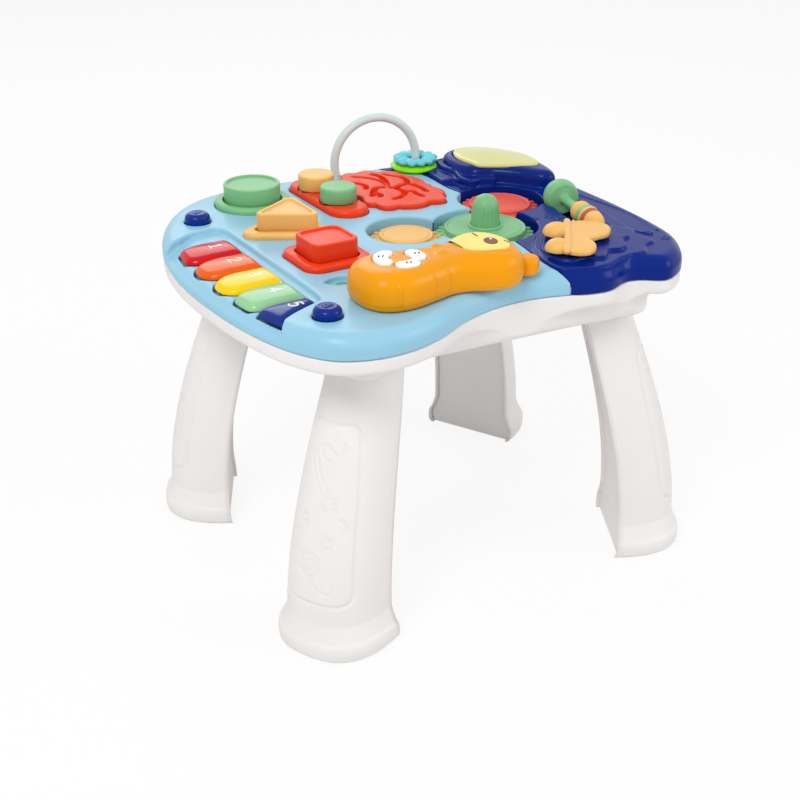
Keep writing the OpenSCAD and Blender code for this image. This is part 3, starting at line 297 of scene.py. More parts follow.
def revolved(at, rows, n=96):
    """A turned solid through (radius, z) rows."""
    return moulded([(circle(at, r, n), z) for r, z in rows])


def fillet(inset, z, r, n=5):
    """Rows of a rounded outer edge of radius r below a top at z."""
    return [(inset + r * (1 - cos(a)), z - r + r * sin(a)) for a in np.linspace(0, pi / 2, n)]


def dip(inset, z, r, n=5):
    """Rows of a rounded edge where a level top turns down into a hollow."""
    return [(inset + r * sin(a), z - r * (1 - cos(a))) for a in np.linspace(0, pi / 2, n)]


def cove(inset, z, r, n=4):
    """Rows of a rounded foot where a wall that goes down meets a level floor at z."""
    return [(inset + r * (1 - cos(a)), z + r * (1 - sin(a))) for a in np.linspace(0, pi / 2, n)]


def join(parts):
    """Several (points, faces) as one."""
    starts = np.cumsum([0] + [len(p) for p, _ in parts])
    return np.vstack([p for p, _ in parts]), np.vstack([f + i for (_, f), i in zip(parts, starts)])


# distance fields, negative inside
def nearest(x, y, starts, ends):
    """Squared distance to the nearest of some straight lines."""
    best = np.full(x.shape, 1e9, np.float32)
    for (ax, ay), (bx, by) in zip(starts, ends):
        ex, ey = bx - ax, by - ay
        wx, wy = x - ax, y - ay
        t = np.clip((wx * ex + wy * ey) / max(ex * ex + ey * ey, 1e-9), 0, 1)
        best = np.minimum(best, (wx - ex * t) ** 2 + (wy - ey * t) ** 2)
    return best


def polygon_distance(x, y, points):
    p = np.asarray(points, float)
    inside = np.zeros(x.shape, bool)
    for (ax, ay), (bx, by) in zip(p, np.roll(p, -1, 0)):
        if ay != by:
            over = (y >= min(ay, by)) & (y < max(ay, by))
            inside ^= over & (x < ax + (y - ay) * (bx - ax) / (by - ay))
    far = np.sqrt(nearest(x, y, p, np.roll(p, -1, 0)))
    return np.where(inside, -far, far)


def line_distance(x, y, points):
    """Distance to an open line."""
    p = np.asarray(points, float)
    return np.sqrt(nearest(x, y, p[:-1], p[1:]))


def circle_distance(x, y, at, r):
    return np.hypot(x - at[0], y - at[1]) - r


def both(a, b, k=0.0):
    """Where a and b overlap, its edge rounded over k."""
    if not k:
        return np.maximum(a, b)
    h = np.maximum(k - np.abs(a - b), 0) / k
    return np.maximum(a, b) + h * h * k / 4


def either(a, b, k=0.0):
    """a and b together, the crease between them filled over k."""
    return -both(-a, -b, k)


def less(a, b, k=0.0):
    """a with b taken away."""
    return both(a, -b, k)


def step(value, start, end):
    """0 before start, 1 after end, smooth between."""
    t = np.clip((value - start) / (end - start), 0, 1)
    return t * t * (3 - 2 * t)


def net(field, low, high, size):
    """Points and quads of the surface where field(x, y, z) is zero: one point in each cell it crosses."""
    axes = [np.arange(a, b + size, size, dtype=np.float32) + 0.013 for a, b in zip(low, high)]
    x, y = np.meshgrid(axes[0], axes[1], indexing="ij")
    f = field(x[:, :, None], y[:, :, None], axes[2][None, None, :]).astype(np.float32)
    inside = f < 0
    corner = [(a, b, c) for a in (0, 1) for b in (0, 1) for c in (0, 1)]
    cut = [slice(0, -1), slice(1, None)]
    count = np.zeros([s - 1 for s in f.shape], np.int8)
    for a, b, c in corner:
        count += inside[cut[a], cut[b], cut[c]]
    cells = np.nonzero((count > 0) & (count < 8))
    ids = np.full(count.shape, -1, np.int32)
    ids[cells] = np.arange(len(cells[0]))
    value = {k: f[cells[0] + k[0], cells[1] + k[1], cells[2] + k[2]] for k in corner}
    total = np.zeros((len(cells[0]), 3))
    hits = np.zeros(len(cells[0]))
    for axis in range(3):
        for k in corner:
            if k[axis]:
                continue
            far = tuple(1 if i == axis else k[i] for i in range(3))
            va, vb = value[k], value[far]
            crossed = (va < 0) != (vb < 0)
            t = va / np.where(crossed, va - vb, 1)
            for i in range(3):
                total[:, i] += np.where(crossed, t if i == axis else k[i], 0)
            hits += crossed
    origin = np.array([a[0] for a in axes])
    points = origin + size * (np.stack(cells, 1) + total / hits[:, None])
    quads = []
    unit = np.eye(3, dtype=int)[:, :, None]
    for axis in range(3):
        near, far = [slice(1, -1)] * 3, [slice(1, -1)] * 3
        near[axis], far[axis] = cut
        first = inside[tuple(near)]
        at = np.stack(np.nonzero(first != inside[tuple(far)]))
        solid = first[tuple(at)]
        u, v = unit[(axis + 1) % 3], unit[(axis + 2) % 3]
        q = np.stack([ids[tuple(at + d)] for d in (0 * u, u, u + v, v)], 1)
        quads.append(np.where(solid[:, None], q, q[:, ::-1]))
    return points, np.vstack(quads)


# outlines of the table, as in the drawing
RIM = smooth([
    (205, 0), (204, 42), (198, 88), (186, 128), (160, 158), (128, 174), (92, 182), (55, 186), (15, 188),
    (-28, 193), (-70, 196.5), (-108, 194), (-140, 182), (-167, 160), (-188, 130), (-203, 95), (-213, 45),
    (-215.5, -10), (-211, -75), (-199, -130), (-178, -167), (-150, -182), (-118, -184), (-85, -175),
    (-50, -157), (-15, -147), (18, -146), (48, -153), (70, -162), (90, -164), (111, -156), (125, -158),
    (142, -169), (157, -166), (176, -152), (193, -124), (200, -90), (204, -45)], 5)
SPLIT = stroke([
    (60, -190), (59, -162), (55, -155), (50, -148), (48, -138), (50, -118), (54, -98), (58, -74), (62, -48),
    (68, -20), (79, 8), (92, 32), (93, 62), (90, 90), (92, 125), (86, 152), (64, 172), (56, 210)])
DARK_ZONE = np.vstack([SPLIT, [(260, 210), (260, -190)]])
TRAY_RADII = [176, 188, 202, 170, 160, 172, 196, 196, 182, 188, 183, 152, 144, 160, 202, 186]
WELL = smooth([
    (-235, -150), (-190, -118), (-170, -107), (-153, -99.5), (-147, -92), (-145.5, -60), (-145.5, 0),
    (-145.5, 60), (-146.5, 86), (-153, 96), (-172, 95.5), (-190, 86), (-235, 50)], 4)

# plan positions
GREEN_AT = np.array([60.0, -19.0])
GREEN_R, YELLOW_R, RED_R = 42.0, 30.0, 34.5
MESH_GAP = 0.25
MODULE = 3.0


def beside_green(r, turn):
    a = radians(turn)
    return GREEN_AT + (GREEN_R + r + MESH_GAP) * np.array([cos(a), sin(a)])


YELLOW_AT = beside_green(YELLOW_R, 160)
RED_AT = beside_green(RED_R, 45.6)
WELL_GAP = 5.4
GEAR_FLOOR = SEAM + 2.1
BUTTONS = {"front": (-160, -131), "back": (-158, 121)}
BUTTON_R = 11.5
ROUND_AT, TRIANGLE_AT, SQUARE_AT = (-93, 143), (-97, 60), (-101, -20)
DISC_X, DISC_Y = -28, (94, 138)
TREE_AT = np.array([34.0, 112.0])
BALL_AT = (159.0, 1.0)
ROLLER_TURN = radians(256.5)
ROLLER_Z = DECK + 4
ROLLER_LEN = 78.0
PLATEAU = DECK + 4.6
UPPER_STEP = smooth([
    (73, -88), (60, -103), (57, -117), (58, -130), (66, -140), (80, -140), (95, -147), (107, -136),
    (118, -139), (128, -135), (134, -122), (146, -116), (137, -106), (145, -94), (138, -80), (124, -80),
    (112, -69), (98, -76), (85, -74)], 4)
LOWER_STEP = smooth([
    (62, -90), (55, -107), (49, -124), (47, -142), (55, -153), (70, -162), (98, -163), (112, -156),
    (119, -150), (135, -150), (146, -138), (160, -132), (158, -112), (163, -98), (155, -84), (146, -70),
    (124, -66), (104, -60), (80, -70)], 4)
EYE_AT = (-114.0, -71.0)
ARCH_AT, ARCH_TURN, ARCH_R, ARCH_Z = (53.0, 166.0), radians(-9), 43.0, DECK + 13
ARCH_FOOT, TUBE_R, ARCH_ENDS = 40.4, 4.2, (radians(-20), radians(200))


def turned(x, y, at, angle):
    """Coordinates along and across a direction, from a point."""
    dx, dy = x - at[0], y - at[1]
    return dx * cos(angle) + dy * sin(angle), dy * cos(angle) - dx * sin(angle)


def rounded_polygon(at, r, sides, turn, radius, n=14):
    """Outline of a regular polygon whose corners are arcs."""
    out = []
    for k in range(sides):
        mid = turn + k * 2 * pi / sides
        cx, cy = at[0] + r * cos(mid), at[1] + r * sin(mid)
        for a in np.linspace(mid - pi / sides, mid + pi / sides, n):
            out.append((cx + radius * cos(a), cy + radius * sin(a)))
    return np.array(out)


def stadium(x, y0, y1, r, n=24):
    half = np.linspace(0, pi, n)
    return np.vstack([around((x, y1), r, half), around((x, y0), r, half + pi)])


def along_arch(out, z):
    """Point of the arch's plane, out from its middle."""
    return np.array([ARCH_AT[0] + out * cos(ARCH_TURN), ARCH_AT[1] + out * sin(ARCH_TURN), z])


TREE = smooth([
    (77, 100), (75, 125), (69, 148), (53, 163), (38, 170), (22, 171), (7, 162), (-2, 145), (-4, 120),
    (-5, 95), (-6, 76), (1, 62), (14, 53), (38, 49), (58, 49), (72, 60), (77, 80)], 6)
ROUND = circle(ROUND_AT, 35)
TRIANGLE_TURN = radians(60)
TRIANGLE = rounded_polygon(TRIANGLE_AT, 30, 3, TRIANGLE_TURN, 12)


def square_outline(w, r):
    return rounded_polygon(SQUARE_AT, (w / 2 - r) * 2**0.5, 4, pi / 4, r)


SQUARE = square_outline(62, 14)
DISC_BASE = stadium(DISC_X, 57 + 19, 172 - 19, 19)


def lobed(curve, centre, per, depth):
    """A curve drawn in towards a centre between lobes."""
    i = np.arange(len(curve))
    pull = depth * (1 - np.abs(np.sin(i * pi / per)))
    return curve + (centre - curve) * pull[:, None]


TREE = lobed(TREE, TREE_AT, 9, 0.09)


KEY_MID_Y, KEY_PITCH, KEY_GAP = -23.5, 38.8, 0.8
KEY_IN, KEY_OUT = -152.0, -205.4
KEY_TOP = DECK - 1
KEY_H = 8.0


def key_plan(number, grow=0.0):
    """Outline of one key, seen from above."""
    h = (KEY_PITCH - KEY_GAP) / 2 + grow
    a = np.linspace(0, pi, 25)
    nose = np.column_stack([KEY_OUT + 23 - (23 + grow) * np.sin(a) ** 0.8, h * np.cos(a)])
    plan = np.vstack([nose, [(KEY_IN + grow, -h), (KEY_IN + grow, h)]])
    return plan + [0, KEY_MID_Y - (number - 3) * KEY_PITCH]


# panels
def rim_field(d, z, top=DECK):
    """The deck's rounded rim: d is the distance from its outline, top the height of the flat."""
    low = top - RIM_BEND
    u = (d + RIM_W) / RIM_W
    v = (z - low) / RIM_BEND
    bend = (np.sqrt(np.maximum(u, 0) ** 2 + np.maximum(v, 0) ** 2) - 1) * (RIM_W + RIM_BEND) / 2
    flat = np.maximum(d, z - top)
    return np.where((z > low) & (d > -RIM_W), bend, flat)


def holes(f, x, y, z):
    """Openings for the gears, buttons, sockets and plates."""
    wells = either(circle_distance(x, y, GREEN_AT, GREEN_R + WELL_GAP),
                   circle_distance(x, y, YELLOW_AT, YELLOW_R + WELL_GAP), 2)
    wells = either(wells, circle_distance(x, y, RED_AT, RED_R + WELL_GAP), 2)
    f = less(f, both(wells, GEAR_FLOOR - z), 1.6)
    for at in BUTTONS.values():
        f = less(f, both(circle_distance(x, y, at, BUTTON_R + 0.6), BUTTON_LOW - z), 1.2)
    for outline in (ROUND, TRIANGLE, SQUARE, DISC_BASE, TREE):
        f = less(f, both(polygon_distance(x, y, outline) - 0.35, SEAT_LOW - z), 1.0)
    for s in (-1, 1):
        foot = both(circle_distance(x, y, along_arch(s * ARCH_FOOT, 0), 5.4), ARCH_SEAT_LOW - z)
        f = less(f, foot, 1.0)
    return f


def trimmed(f, x, y, z, side):
    """A panel that ends at the split, on side 1 (dark) or -1 (pale), and at the seam."""
    f = both(f, PANEL_GAP + side * polygon_distance(x, y, DARK_ZONE), 1.6)
    return both(f, SEAM + 0.15 - z, 0.6)


def pale_field(x, y, z):
    d = polygon_distance(x, y, RIM)
    well = polygon_distance(x, y, WELL)
    f = rim_field(d, z)
    floor = KEY_FLOOR - 3 * step(-x, 165, 195) - 5.5 * step(d, -14, 0)
    f = less(f, both(well, floor - z, 3), 3.0)
    slot = np.minimum.reduce([polygon_distance(x, y, key_plan(n, 0.6)) for n in range(1, 6)])
    slot = both(both(slot, well + 1.0), d + 9.4)
    f = less(f, both(slot, KEY_SLOT_LOW - z), 0.8)
    f = holes(f, x, y, z)
    u, v = turned(x, y, EYE_AT, radians(-10))
    eye = both(np.hypot(u, v - 8) - 17.5, np.hypot(u, v + 8) - 17.5)
    f = less(f, both(eye, EYE_FLOOR - z, 4), 2.5)
    return trimmed(f, x, y, z, -1)


build("panel_light", *net(pale_field, (-218, -191, 274), (117, 199, 298), 1.0),
      "table", "pale_blue", ["panel_pale"])


HOUSE = smooth([
    (118, 88), (136, 76), (152, 58), (166, 38), (180, 38), (188, 58), (190, 84), (184, 112), (170, 138),
    (150, 152), (132, 154), (119, 146), (113, 124), (112, 102)], 6)
LENS_OUTLINE = smooth([
    (129, 84), (174, 62), (183, 84), (180, 105), (165, 131), (146, 144), (130, 142), (121, 124),
    (122, 100)], 8)
BIG_LEAF = smooth([
    (112, 146), (118, 154), (133, 152), (140, 140), (142, 125), (143, 108), (141, 92), (131, 66), (129, 74),
    (118, 77), (107, 76), (104, 90), (110, 112), (108, 130)], 4)
SMALL_LEAF = smooth([
    (97, 135), (106, 139), (113, 137), (124, 128), (124, 118), (121, 106), (112, 86), (106, 82), (102, 96),
    (94, 98), (86, 100), (84, 108), (90, 124)], 4)
POCKET_RIDGES = [
    stroke([(169, -14), (173, -40), (165, -79), (163, -98), (170, -117)]),
    stroke([(182, 14), (189, -33), (190, -63), (187, -90), (183, -110)])]
MOTIFS = [
    (137, 55), (157, 38), (122, -30), (106, -28), (171, -110), (154, -121), (112, 69), (130, -38),
    (176, -128)]


def flower(x, y, at, r, wave, turn=0):
    """Distance to a line with five waves round a place."""
    a = np.arctan2(y - at[1], x - at[0])
    return np.abs(circle_distance(x, y, at, r) - wave * np.cos(5 * a + turn))


def motifs(x, y):
    """Distance to the small raised flowers of the deck."""
    best = np.full(x.shape, 1e9)
    for k, at in enumerate(MOTIFS):
        best = np.minimum(best, np.minimum(flower(x, y, at, 3.6, 1.1, k), circle_distance(x, y, at, 0)))
    return best


def navy_field(x, y, z):
    d = polygon_distance(x, y, RIM)
    f = rim_field(d, z)
    low_step = both(polygon_distance(x, y, LOWER_STEP), z - DECK - 2, 2)
    f = either(f, both(low_step, d + 4, 4), 2)
    f = either(f, both(polygon_distance(x, y, UPPER_STEP), z - PLATEAU, 1.6), 1.2)
    for ridge in POCKET_RIDGES:
        f = either(f, both(both(line_distance(x, y, ridge) - 1.1, z - DECK - 1.3, 1.4), d + 6), 1.4)
    f = f - 0.8 * (1 - step(motifs(x, y), 0.4, 1.5)) * (np.abs(z - DECK) < 1.2)
    house = polygon_distance(x, y, HOUSE)
    dome = HOUSE_TOP - 0.0012 * (x - 150) ** 2
    f = either(f, both(house, z - dome, 11), 2.5)
    for outline, top in ((SMALL_LEAF, DECK + 3.6), (BIG_LEAF, DECK + 7)):
        leaf = polygon_distance(x, y, outline)
        edge = 0.9 * (1 - step(np.abs(leaf + 2.2), 0.5, 1.5))
        f = either(f, both(leaf, z - top - edge, 1.6), 1.2)
    u, v = turned(x, y, BALL_AT, ROLLER_TURN)
    trough = both(np.abs(v) - 12.5, np.abs(u - ROLLER_LEN / 2) - ROLLER_LEN / 2, 3)
    well = either(np.hypot(u, v) - 17.5, trough, 4)
    well = either(well, np.hypot(u - ROLLER_LEN, v) - 12.5, 2)
    f = less(f, both(well, ROLLER_Z - 18.5 - z, 3), 2.5)
    f = holes(f, x, y, z)
    f = less(f, both(polygon_distance(x, y, LENS_OUTLINE) - 0.3, LENS_SEAT - z), 1.0)
    return trimmed(f, x, y, z, 1)


build("panel_dark", *net(navy_field, (40, -176, 274), (208, 190, 318), 1.0), "table", "navy", ["panel_navy"])


# tray
def tray_edge():
    """The tray's bottom edge, one point for each point of the rim."""
    a = (np.degrees(np.arctan2(RIM[:, 1], RIM[:, 0])) + 360) % 360 / 22.5
    i = np.floor(a).astype(int)
    r = np.array(TRAY_RADII, float)
    t = a - i
    radius = between(r[(i + 15) % 16], r[i % 16], r[(i + 1) % 16], r[(i + 2) % 16], t)
    return normed(RIM) * radius[:, None]


LEG_MID = (2.3, 2.2)
LEG_AT = (140.5, 119.8)
LEG_TURN = radians(27.5)
TRAY_EDGE = tray_edge()


def tray_field(x, y, z):
    lip = polygon_distance(x, y, RIM) + 0.5
    body = polygon_distance(x, y, TRAY_EDGE)
    slope = np.clip((z - TRAY_LOW) / 26.0, 0, 1)
    body = body - 3.0 * slope
    f = both(lip, SEAM - 13.5 - z, 5)
    f = either(f, both(body, TRAY_LOW + 0.05 - z, 10), 12)
    for sx in (-1, 1):
        for sy in (-1, 1):
            u, v = turned((x - LEG_MID[0]) * sx, (y - LEG_MID[1]) * sy, LEG_AT, LEG_TURN)
            boss = both(np.abs(v) - 34, np.abs(u + 16) - 31, 16)
            boss = both(boss, both(lip + 2, TRAY_LOW + 0.05 - z, 4), 5)
            f = either(f, boss, 7)
    return both(both(f, z - SEAM + 0.3, 0.8), lip)


build("tray_shell", *net(tray_field, (-218, -188, 237), (208, 199, 278), 1.6), "table", "white", ["tray"])


# legs
LEG_TOP = TRAY_LOW - 0.3
LEG_WALL = 2.6
LEG_RUN = 250.0
FOOT_Z = [-1, 0, 1, 3, 9, 14, 16.5, 18, 24, 32, 300]
FOOT_OUT = [2.4, 3.6, 5.2, 7, 7.6, 7.2, 6.2, 4.6, 2.4, 0, 0]


def leg_lean(t):
    return 26.85 * t - 114.06 * t * t + 44.76 * t**3


def bow(a, b, c, t):
    return a + b * t + c * t * (1 - t)


def leg_half(z, d, angles):
    """Half of the leg's D-shaped section, set in by d: how far out and how far to the side at each angle."""
    t = z / LEG_RUN
    grow = np.interp(z, FOOT_Z, FOOT_OUT) - d
    w = bow(43.7, -13.9, 15, t) + grow
    h = bow(59.1, -16.3, 11.5, t) + grow
    k = 2 / (2.6 - 0.65 * t)
    return leg_lean(t) + h * np.sin(angles) ** k, w * np.cos(angles) ** k


def rounded_box(x, y, w, h, r):
    qx, qy = np.abs(x) - w + r, np.abs(y) - h + r
    return np.hypot(np.maximum(qx, 0), np.maximum(qy, 0)) + np.minimum(np.maximum(qx, qy), 0) - r


LEG_LINES = [
    stroke([(-13, 186), (-15, 180), (-10, 176), (-4, 179), (1, 183), (6, 179), (3, 173), (-3, 171)]),
    stroke([(16, 172), (10, 160), (4, 150), (-2, 143)]),
    stroke([(11, 174), (5, 162), (-1, 152), (-6, 146)]),
    stroke([(-22, 70), (-16, 62), (-4, 66), (6, 76), (14, 80)], 6),
    stroke([(20, 112), (25, 104), (21, 96), (26, 88)]),
    stroke([(-20, 126), (-26, 120), (-24, 112)]),
]
LEG_FLOWERS = [((3, 84), 10, 0), ((3, 84), 5, 0), ((-8, 138), 6, 1.8), ((14, 122), 4, 1.2),
               ((-10, 106), 4.4, 1.32)]


def leg_relief(arc, z):
    """Height over the leg's outer face: a panel with a raised border and fine raised motifs."""
    wide = np.interp(z, [40, 60, 140, 200], [41, 41, 36, 26])
    panel = rounded_box(arc * 30 / wide, z - 125, 30, 76, 13)
    border = step(-np.abs(panel + 1.8), -2.4, -0.9)
    lines = np.full(arc.shape, 1e9)
    for pts in LEG_LINES:
        lines = np.minimum(lines, line_distance(arc, z, pts))
    for at, r, wave in LEG_FLOWERS:
        lines = np.minimum(lines, flower(arc, z, at, r, wave))
    inside = step(-panel, 0, 4)
    return 1.1 * border + 0.75 * inside * (1 - step(lines, 0.5, 1.7)) - 0.25 * inside


def leg_section(z, d, angles):
    u, v = leg_half(z, d, angles)
    return np.column_stack([np.append(u, u[-2::-1]), np.append(v, -v[-2::-1])])


def leg(name, sx, sy):
    """One leg: outer skin with its relief, inner skin and the edges between them."""
    spans = ((0, 40, 34), (41.2, 208, 140), (211, LEG_TOP, 10))
    levels = np.concatenate([np.linspace(*span) for span in spans])
    half = np.concatenate([np.linspace(0, 0.12, 3)[:-1], np.linspace(0.12, pi / 2, 60)])
    c, s = cos(LEG_TURN), sin(LEG_TURN)
    rings = []
    for z in levels:
        out = leg_section(z, 0.0, half)
        t = normed(np.gradient(out, axis=0))
        side = np.append(0, np.cumsum(np.linalg.norm(np.diff(out, axis=0), axis=1)))
        lift = leg_relief(side - side[-1] / 2, np.full(len(side), z))
        out = out + np.column_stack([t[:, 1], -t[:, 0]]) * lift[:, None]
        ring = np.vstack([out, leg_section(z, LEG_WALL, half)[::-1]])
        x = LEG_MID[0] + sx * (LEG_AT[0] + ring[:, 0] * c - ring[:, 1] * s)
        y = LEG_MID[1] + sy * (LEG_AT[1] + ring[:, 0] * s + ring[:, 1] * c)
        rings.append(np.column_stack([x, y, np.full(len(ring), z)]))
    m, n = len(rings), len(rings[0])
    k = np.arange(n // 2 - 1)
    top = (m - 1) * n
    low_edge = np.stack([k, n - 1 - k, n - 2 - k, k + 1], 1)
    top_edge = np.stack([top + k, top + k + 1, top + n - 2 - k, top + n - 1 - k], 1)
    quads = np.vstack([*bands(m, n), low_edge, top_edge])
    build("leg_skin_" + name, np.vstack(rings), quads, "table", "white", ["leg_" + name])


for row, sy in (("front", -1), ("back", 1)):
    for side, sx in (("left", -1), ("right", 1)):
        leg(row + "_" + side, sx, sy)


# keys
DIGITS = {
    1: [[(-2.2, 3.4), (0.4, 5.4), (0.4, -5.4)], [(-2.4, -5.4), (3, -5.4)]],
    2: [stroke([(-3, 2.8), (-2.4, 4.8), (0, 5.6), (2.6, 4.6),
                (3, 2.4), (1.4, -0.4), (-1.4, -3), (-3.2, -5.4)]), [(-3.2, -5.4), (3.2, -5.4)]],
    3: [stroke([(-2.8, 3.8), (-1, 5.4), (1.6, 5.2), (2.8, 3.2), (1.6, 1), (-0.6, 0.3)]),
        stroke([(-0.6, 0.3), (2, -0.4), (3.2, -2.6), (2, -5), (-0.8, -5.6), (-3, -4)])],
    4: [[(1.6, -5.4), (1.6, 5.4), (-3.4, -2), (3.6, -2)]],
    5: [[(2.8, 5.4), (-2.2, 5.4), (-2.6, 0.6)],
        stroke([(-2.6, 0.6), (0, 1.6), (2.6, 0.6), (3.2, -2), (2, -4.8), (-0.8, -5.6), (-3, -4.4)])],
}


def key_skin(x, y, mid):
    """Height of a key's top: crowned across, rounding down to the nose."""
    nose = np.clip((x - KEY_OUT) / (0.56 * (KEY_IN - KEY_OUT)), 0, 1)
    drop = 0.9 * KEY_H * (1 - np.sqrt(1 - (1 - nose) ** 2))
    return KEY_TOP + 0.6 - drop - 2.2 * np.abs((y - mid) / 19) ** 2.6


def key(number, color):
    mid = KEY_MID_Y - (number - 3) * KEY_PITCH
    h = (KEY_PITCH - KEY_GAP) / 2
    plan = key_plan(number)

    def field(x, y, z):
        side = polygon_distance(x, y, plan) + 0.1
        side = both(side, both(polygon_distance(x, y, WELL) + 1.2, polygon_distance(x, y, RIM) + 10.2), 2)
        f = both(side, z - key_skin(x, y, mid), 7)
        return both(f, KEY_TOP - KEY_H + 0.1 - z, 0.5)

    body = "key_" + color
    low, high = (KEY_OUT - 1, mid - h - 1, KEY_TOP - KEY_H - 2), (KEY_IN + 1, mid + h + 1, KEY_TOP + 2)
    build(body + "_cap", *net(field, low, high, 0.7), body, body, [body])
    at = (KEY_IN - 18, mid + (4 if number == 5 else 0))

    def digit(x, y, z):
        d = np.full(x.shape, 1e9)
        for line in DIGITS[number]:
            d = np.minimum(d, line_distance(at[1] - y, x - at[0], line))
        return both(d - 0.8, np.abs(z - key_skin(x, y, mid)) - 0.35)

    low, high = (at[0] - 7.5, at[1] - 6, KEY_TOP - 3), (at[0] + 7.5, at[1] + 6, KEY_TOP + 1.5)
    build("numeral_%d" % number, *net(digit, low, high, 0.35), body, "white", look="print")


for number, color in enumerate(("red", "orange", "yellow", "green", "blue"), 1):
    key(number, color)


AXLE_R, AXLE_AT, AXLE_ENDS = 1.5, (-155.5, KEY_TOP - KEY_H + 3.4), (-101.6, 72.0)


def axle():
    """The rod of the keys, which ends at the red key's side."""
    low, high = AXLE_ENDS
    rows = [(AXLE_R - 0.3, low), (AXLE_R, low + 0.3), (AXLE_R, high - 0.3), (AXLE_R - 0.3, high)]
    pts, quads = revolved((0, 0), rows, 24)
    pts = np.column_stack([AXLE_AT[0] + pts[:, 0], pts[:, 2], AXLE_AT[1] + pts[:, 1]])
    build("key_axle", pts, quads, "table", "steel", ["key_rod"])


axle()


# buttons
BUTTON_BASE = DECK - 2.6 - 0.3


def button(name, at):
    def field(x, y, z):
        r = np.hypot(x - at[0], y - at[1])
        h = z - BUTTON_BASE
        f = both(r - BUTTON_R, h - 11.4 + 0.012 * r * r, 4)
        sign = line_distance(x - at[0], y - at[1], [(-3, 3), (-3, -3), (3.4, 0), (-3, 3)])
        f = f - 0.5 * (1 - step(np.minimum(np.abs(r - 7.4), sign), 0.3, 1.5)) * (h > 8)
        return both(f, -2 - h, 0.5)

    low, high = (at[0] - 14, at[1] - 14, BUTTON_BASE - 3), (at[0] + 14, at[1] + 14, BUTTON_BASE + 13)
    body = "button_" + name
    build("push_" + name, *net(field, low, high, 0.6), body, "key_blue", [body], "button")


for name, at in BUTTONS.items():
    button(name, at)


# sockets and blocks
SOCKET_LOW, SOCKET_TOP = DECK - 6, DECK + 5
BLOCK_LOW, BLOCK_TOP = DECK + 0.5, DECK + 20


def round_shape(r):
    return circle(ROUND_AT, r)


def triangle_shape(size):
    """Triangle outline; the size runs from the middle to a side."""
    corner = 6 + 0.5 * (size - 18)
    return rounded_polygon(TRIANGLE_AT, 2 * (size - corner), 3, TRIANGLE_TURN, max(corner, 2.4), 20)


def square_shape(half):
    corner = 9 + 0.5 * (half - 21.5)
    return square_outline(2 * half, max(corner, 3))


def socket(name, shape, size, hole, slot):
    rows = [(shape(size - 0.6), SOCKET_LOW), (shape(size), SOCKET_LOW + 0.6)]
    rows += [(shape(size - i), z) for i, z in fillet(0, SOCKET_TOP, 3.2, 8)]
    rows += [(shape(hole + 1.4), SOCKET_TOP)]
    rows += [(shape(hole - i), z) for i, z in dip(-0.9, SOCKET_TOP, 0.9)]
    rows += [(shape(hole), BLOCK_LOW), (shape(hole - 0.8), BLOCK_LOW - 0.3)]
    build("socket_%s_cup" % name, *moulded(rows), "table", slot, ["socket_" + name])


def block(name, shape, size, slot):
    rows = [(shape(size - 0.6), BLOCK_LOW), (shape(size), BLOCK_LOW + 0.6)]
    rows += [(shape(size - i), z) for i, z in fillet(0, BLOCK_TOP, 1.5, 6)]
    rows += [(shape(size - i), z) for i, z in dip(2.7, BLOCK_TOP, 0.8)]
    rows += [(shape(size - i), z) for i, z in cove(3.5, BLOCK_TOP - 1.8, 0.7)]
    rows += [(shape(size - 5.5), BLOCK_TOP - 1.75), (shape(size - 12), BLOCK_TOP - 1.5)]
    build("shape_" + name, *moulded(rows), "block_" + name, slot, ["block_" + name])


for name, shape, size, inner, slot in (("round", round_shape, 35, 26.3, "sage"),
                                       ("triangle", triangle_shape, 27, 18, "honey"),
                                       ("square", square_shape, 31, 21.5, "tomato")):
    socket(name, shape, size, inner + 1.3, slot)
    block(name, shape, inner, slot)


# discs
DISC_SEAT, DISC_R, DISC_H = DECK + 6, 17.0, 14


def disc_stand(x, y, z):
    f = both(polygon_distance(x, y, DISC_BASE) + 0.3, z - DISC_SEAT, 5)
    for at in DISC_Y:
        f = less(f, both(circle_distance(x, y, (DISC_X, at), DISC_R + 0.7), DISC_SEAT - 3.4 - z), 0.8)
    return both(f, SOCKET_LOW - z)


def disc(color, y, slot):
    low, top = DISC_SEAT - 0.4, DISC_SEAT + DISC_H
    rows = [(DISC_R - 0.8, low), (DISC_R, low + 0.8)]
    rows += [(DISC_R - i, z) for i, z in fillet(0, top, 2.2, 8)] + [(DISC_R - 3.4, top), (6, top + 0.2)]
    build("press_%s" % color, *revolved((DISC_X, y), rows), "disc_" + color, slot, ["disc_" + color])


build("disc_stand", *net(disc_stand, (-49, 55, SOCKET_LOW - 1), (-7, 174, DISC_SEAT + 1), 0.8),
      "table", "tomato", ["disc_base"])
disc("yellow", DISC_Y[1], "honey")
disc("green", DISC_Y[0], "sage")


# tree plate
TREE_TOP = DECK + 4
GROOVES = [
    (2.2, [(22, 155), (30, 147), (37, 134), (38, 124), (36, 112), (35, 106)]),
    (3.0, [(42, 152), (45, 143), (43, 130), (37, 116)]),
    (2.6, [(4, 148), (8, 142), (15, 134), (18, 124), (14, 116)]),
    (3.2, [(36, 107), (29, 112), (22, 112), (15, 103), (9, 94)]),
    (2.6, [(14, 102), (17, 94), (14, 89)]), (2.8, [(62, 131), (62, 121), (57, 110), (60, 103)]),
    (3.0, [(57, 109), (48, 108), (40, 103), (41, 93), (38, 84), (30, 78), (22, 76)]),
    (2.8, [(59, 104), (61, 93), (60, 81)]),
    (2.8, [(41, 90), (48, 87), (48, 78), (49, 70)]), (2.0, [(52, 147), (56, 139), (62, 131)]),
]


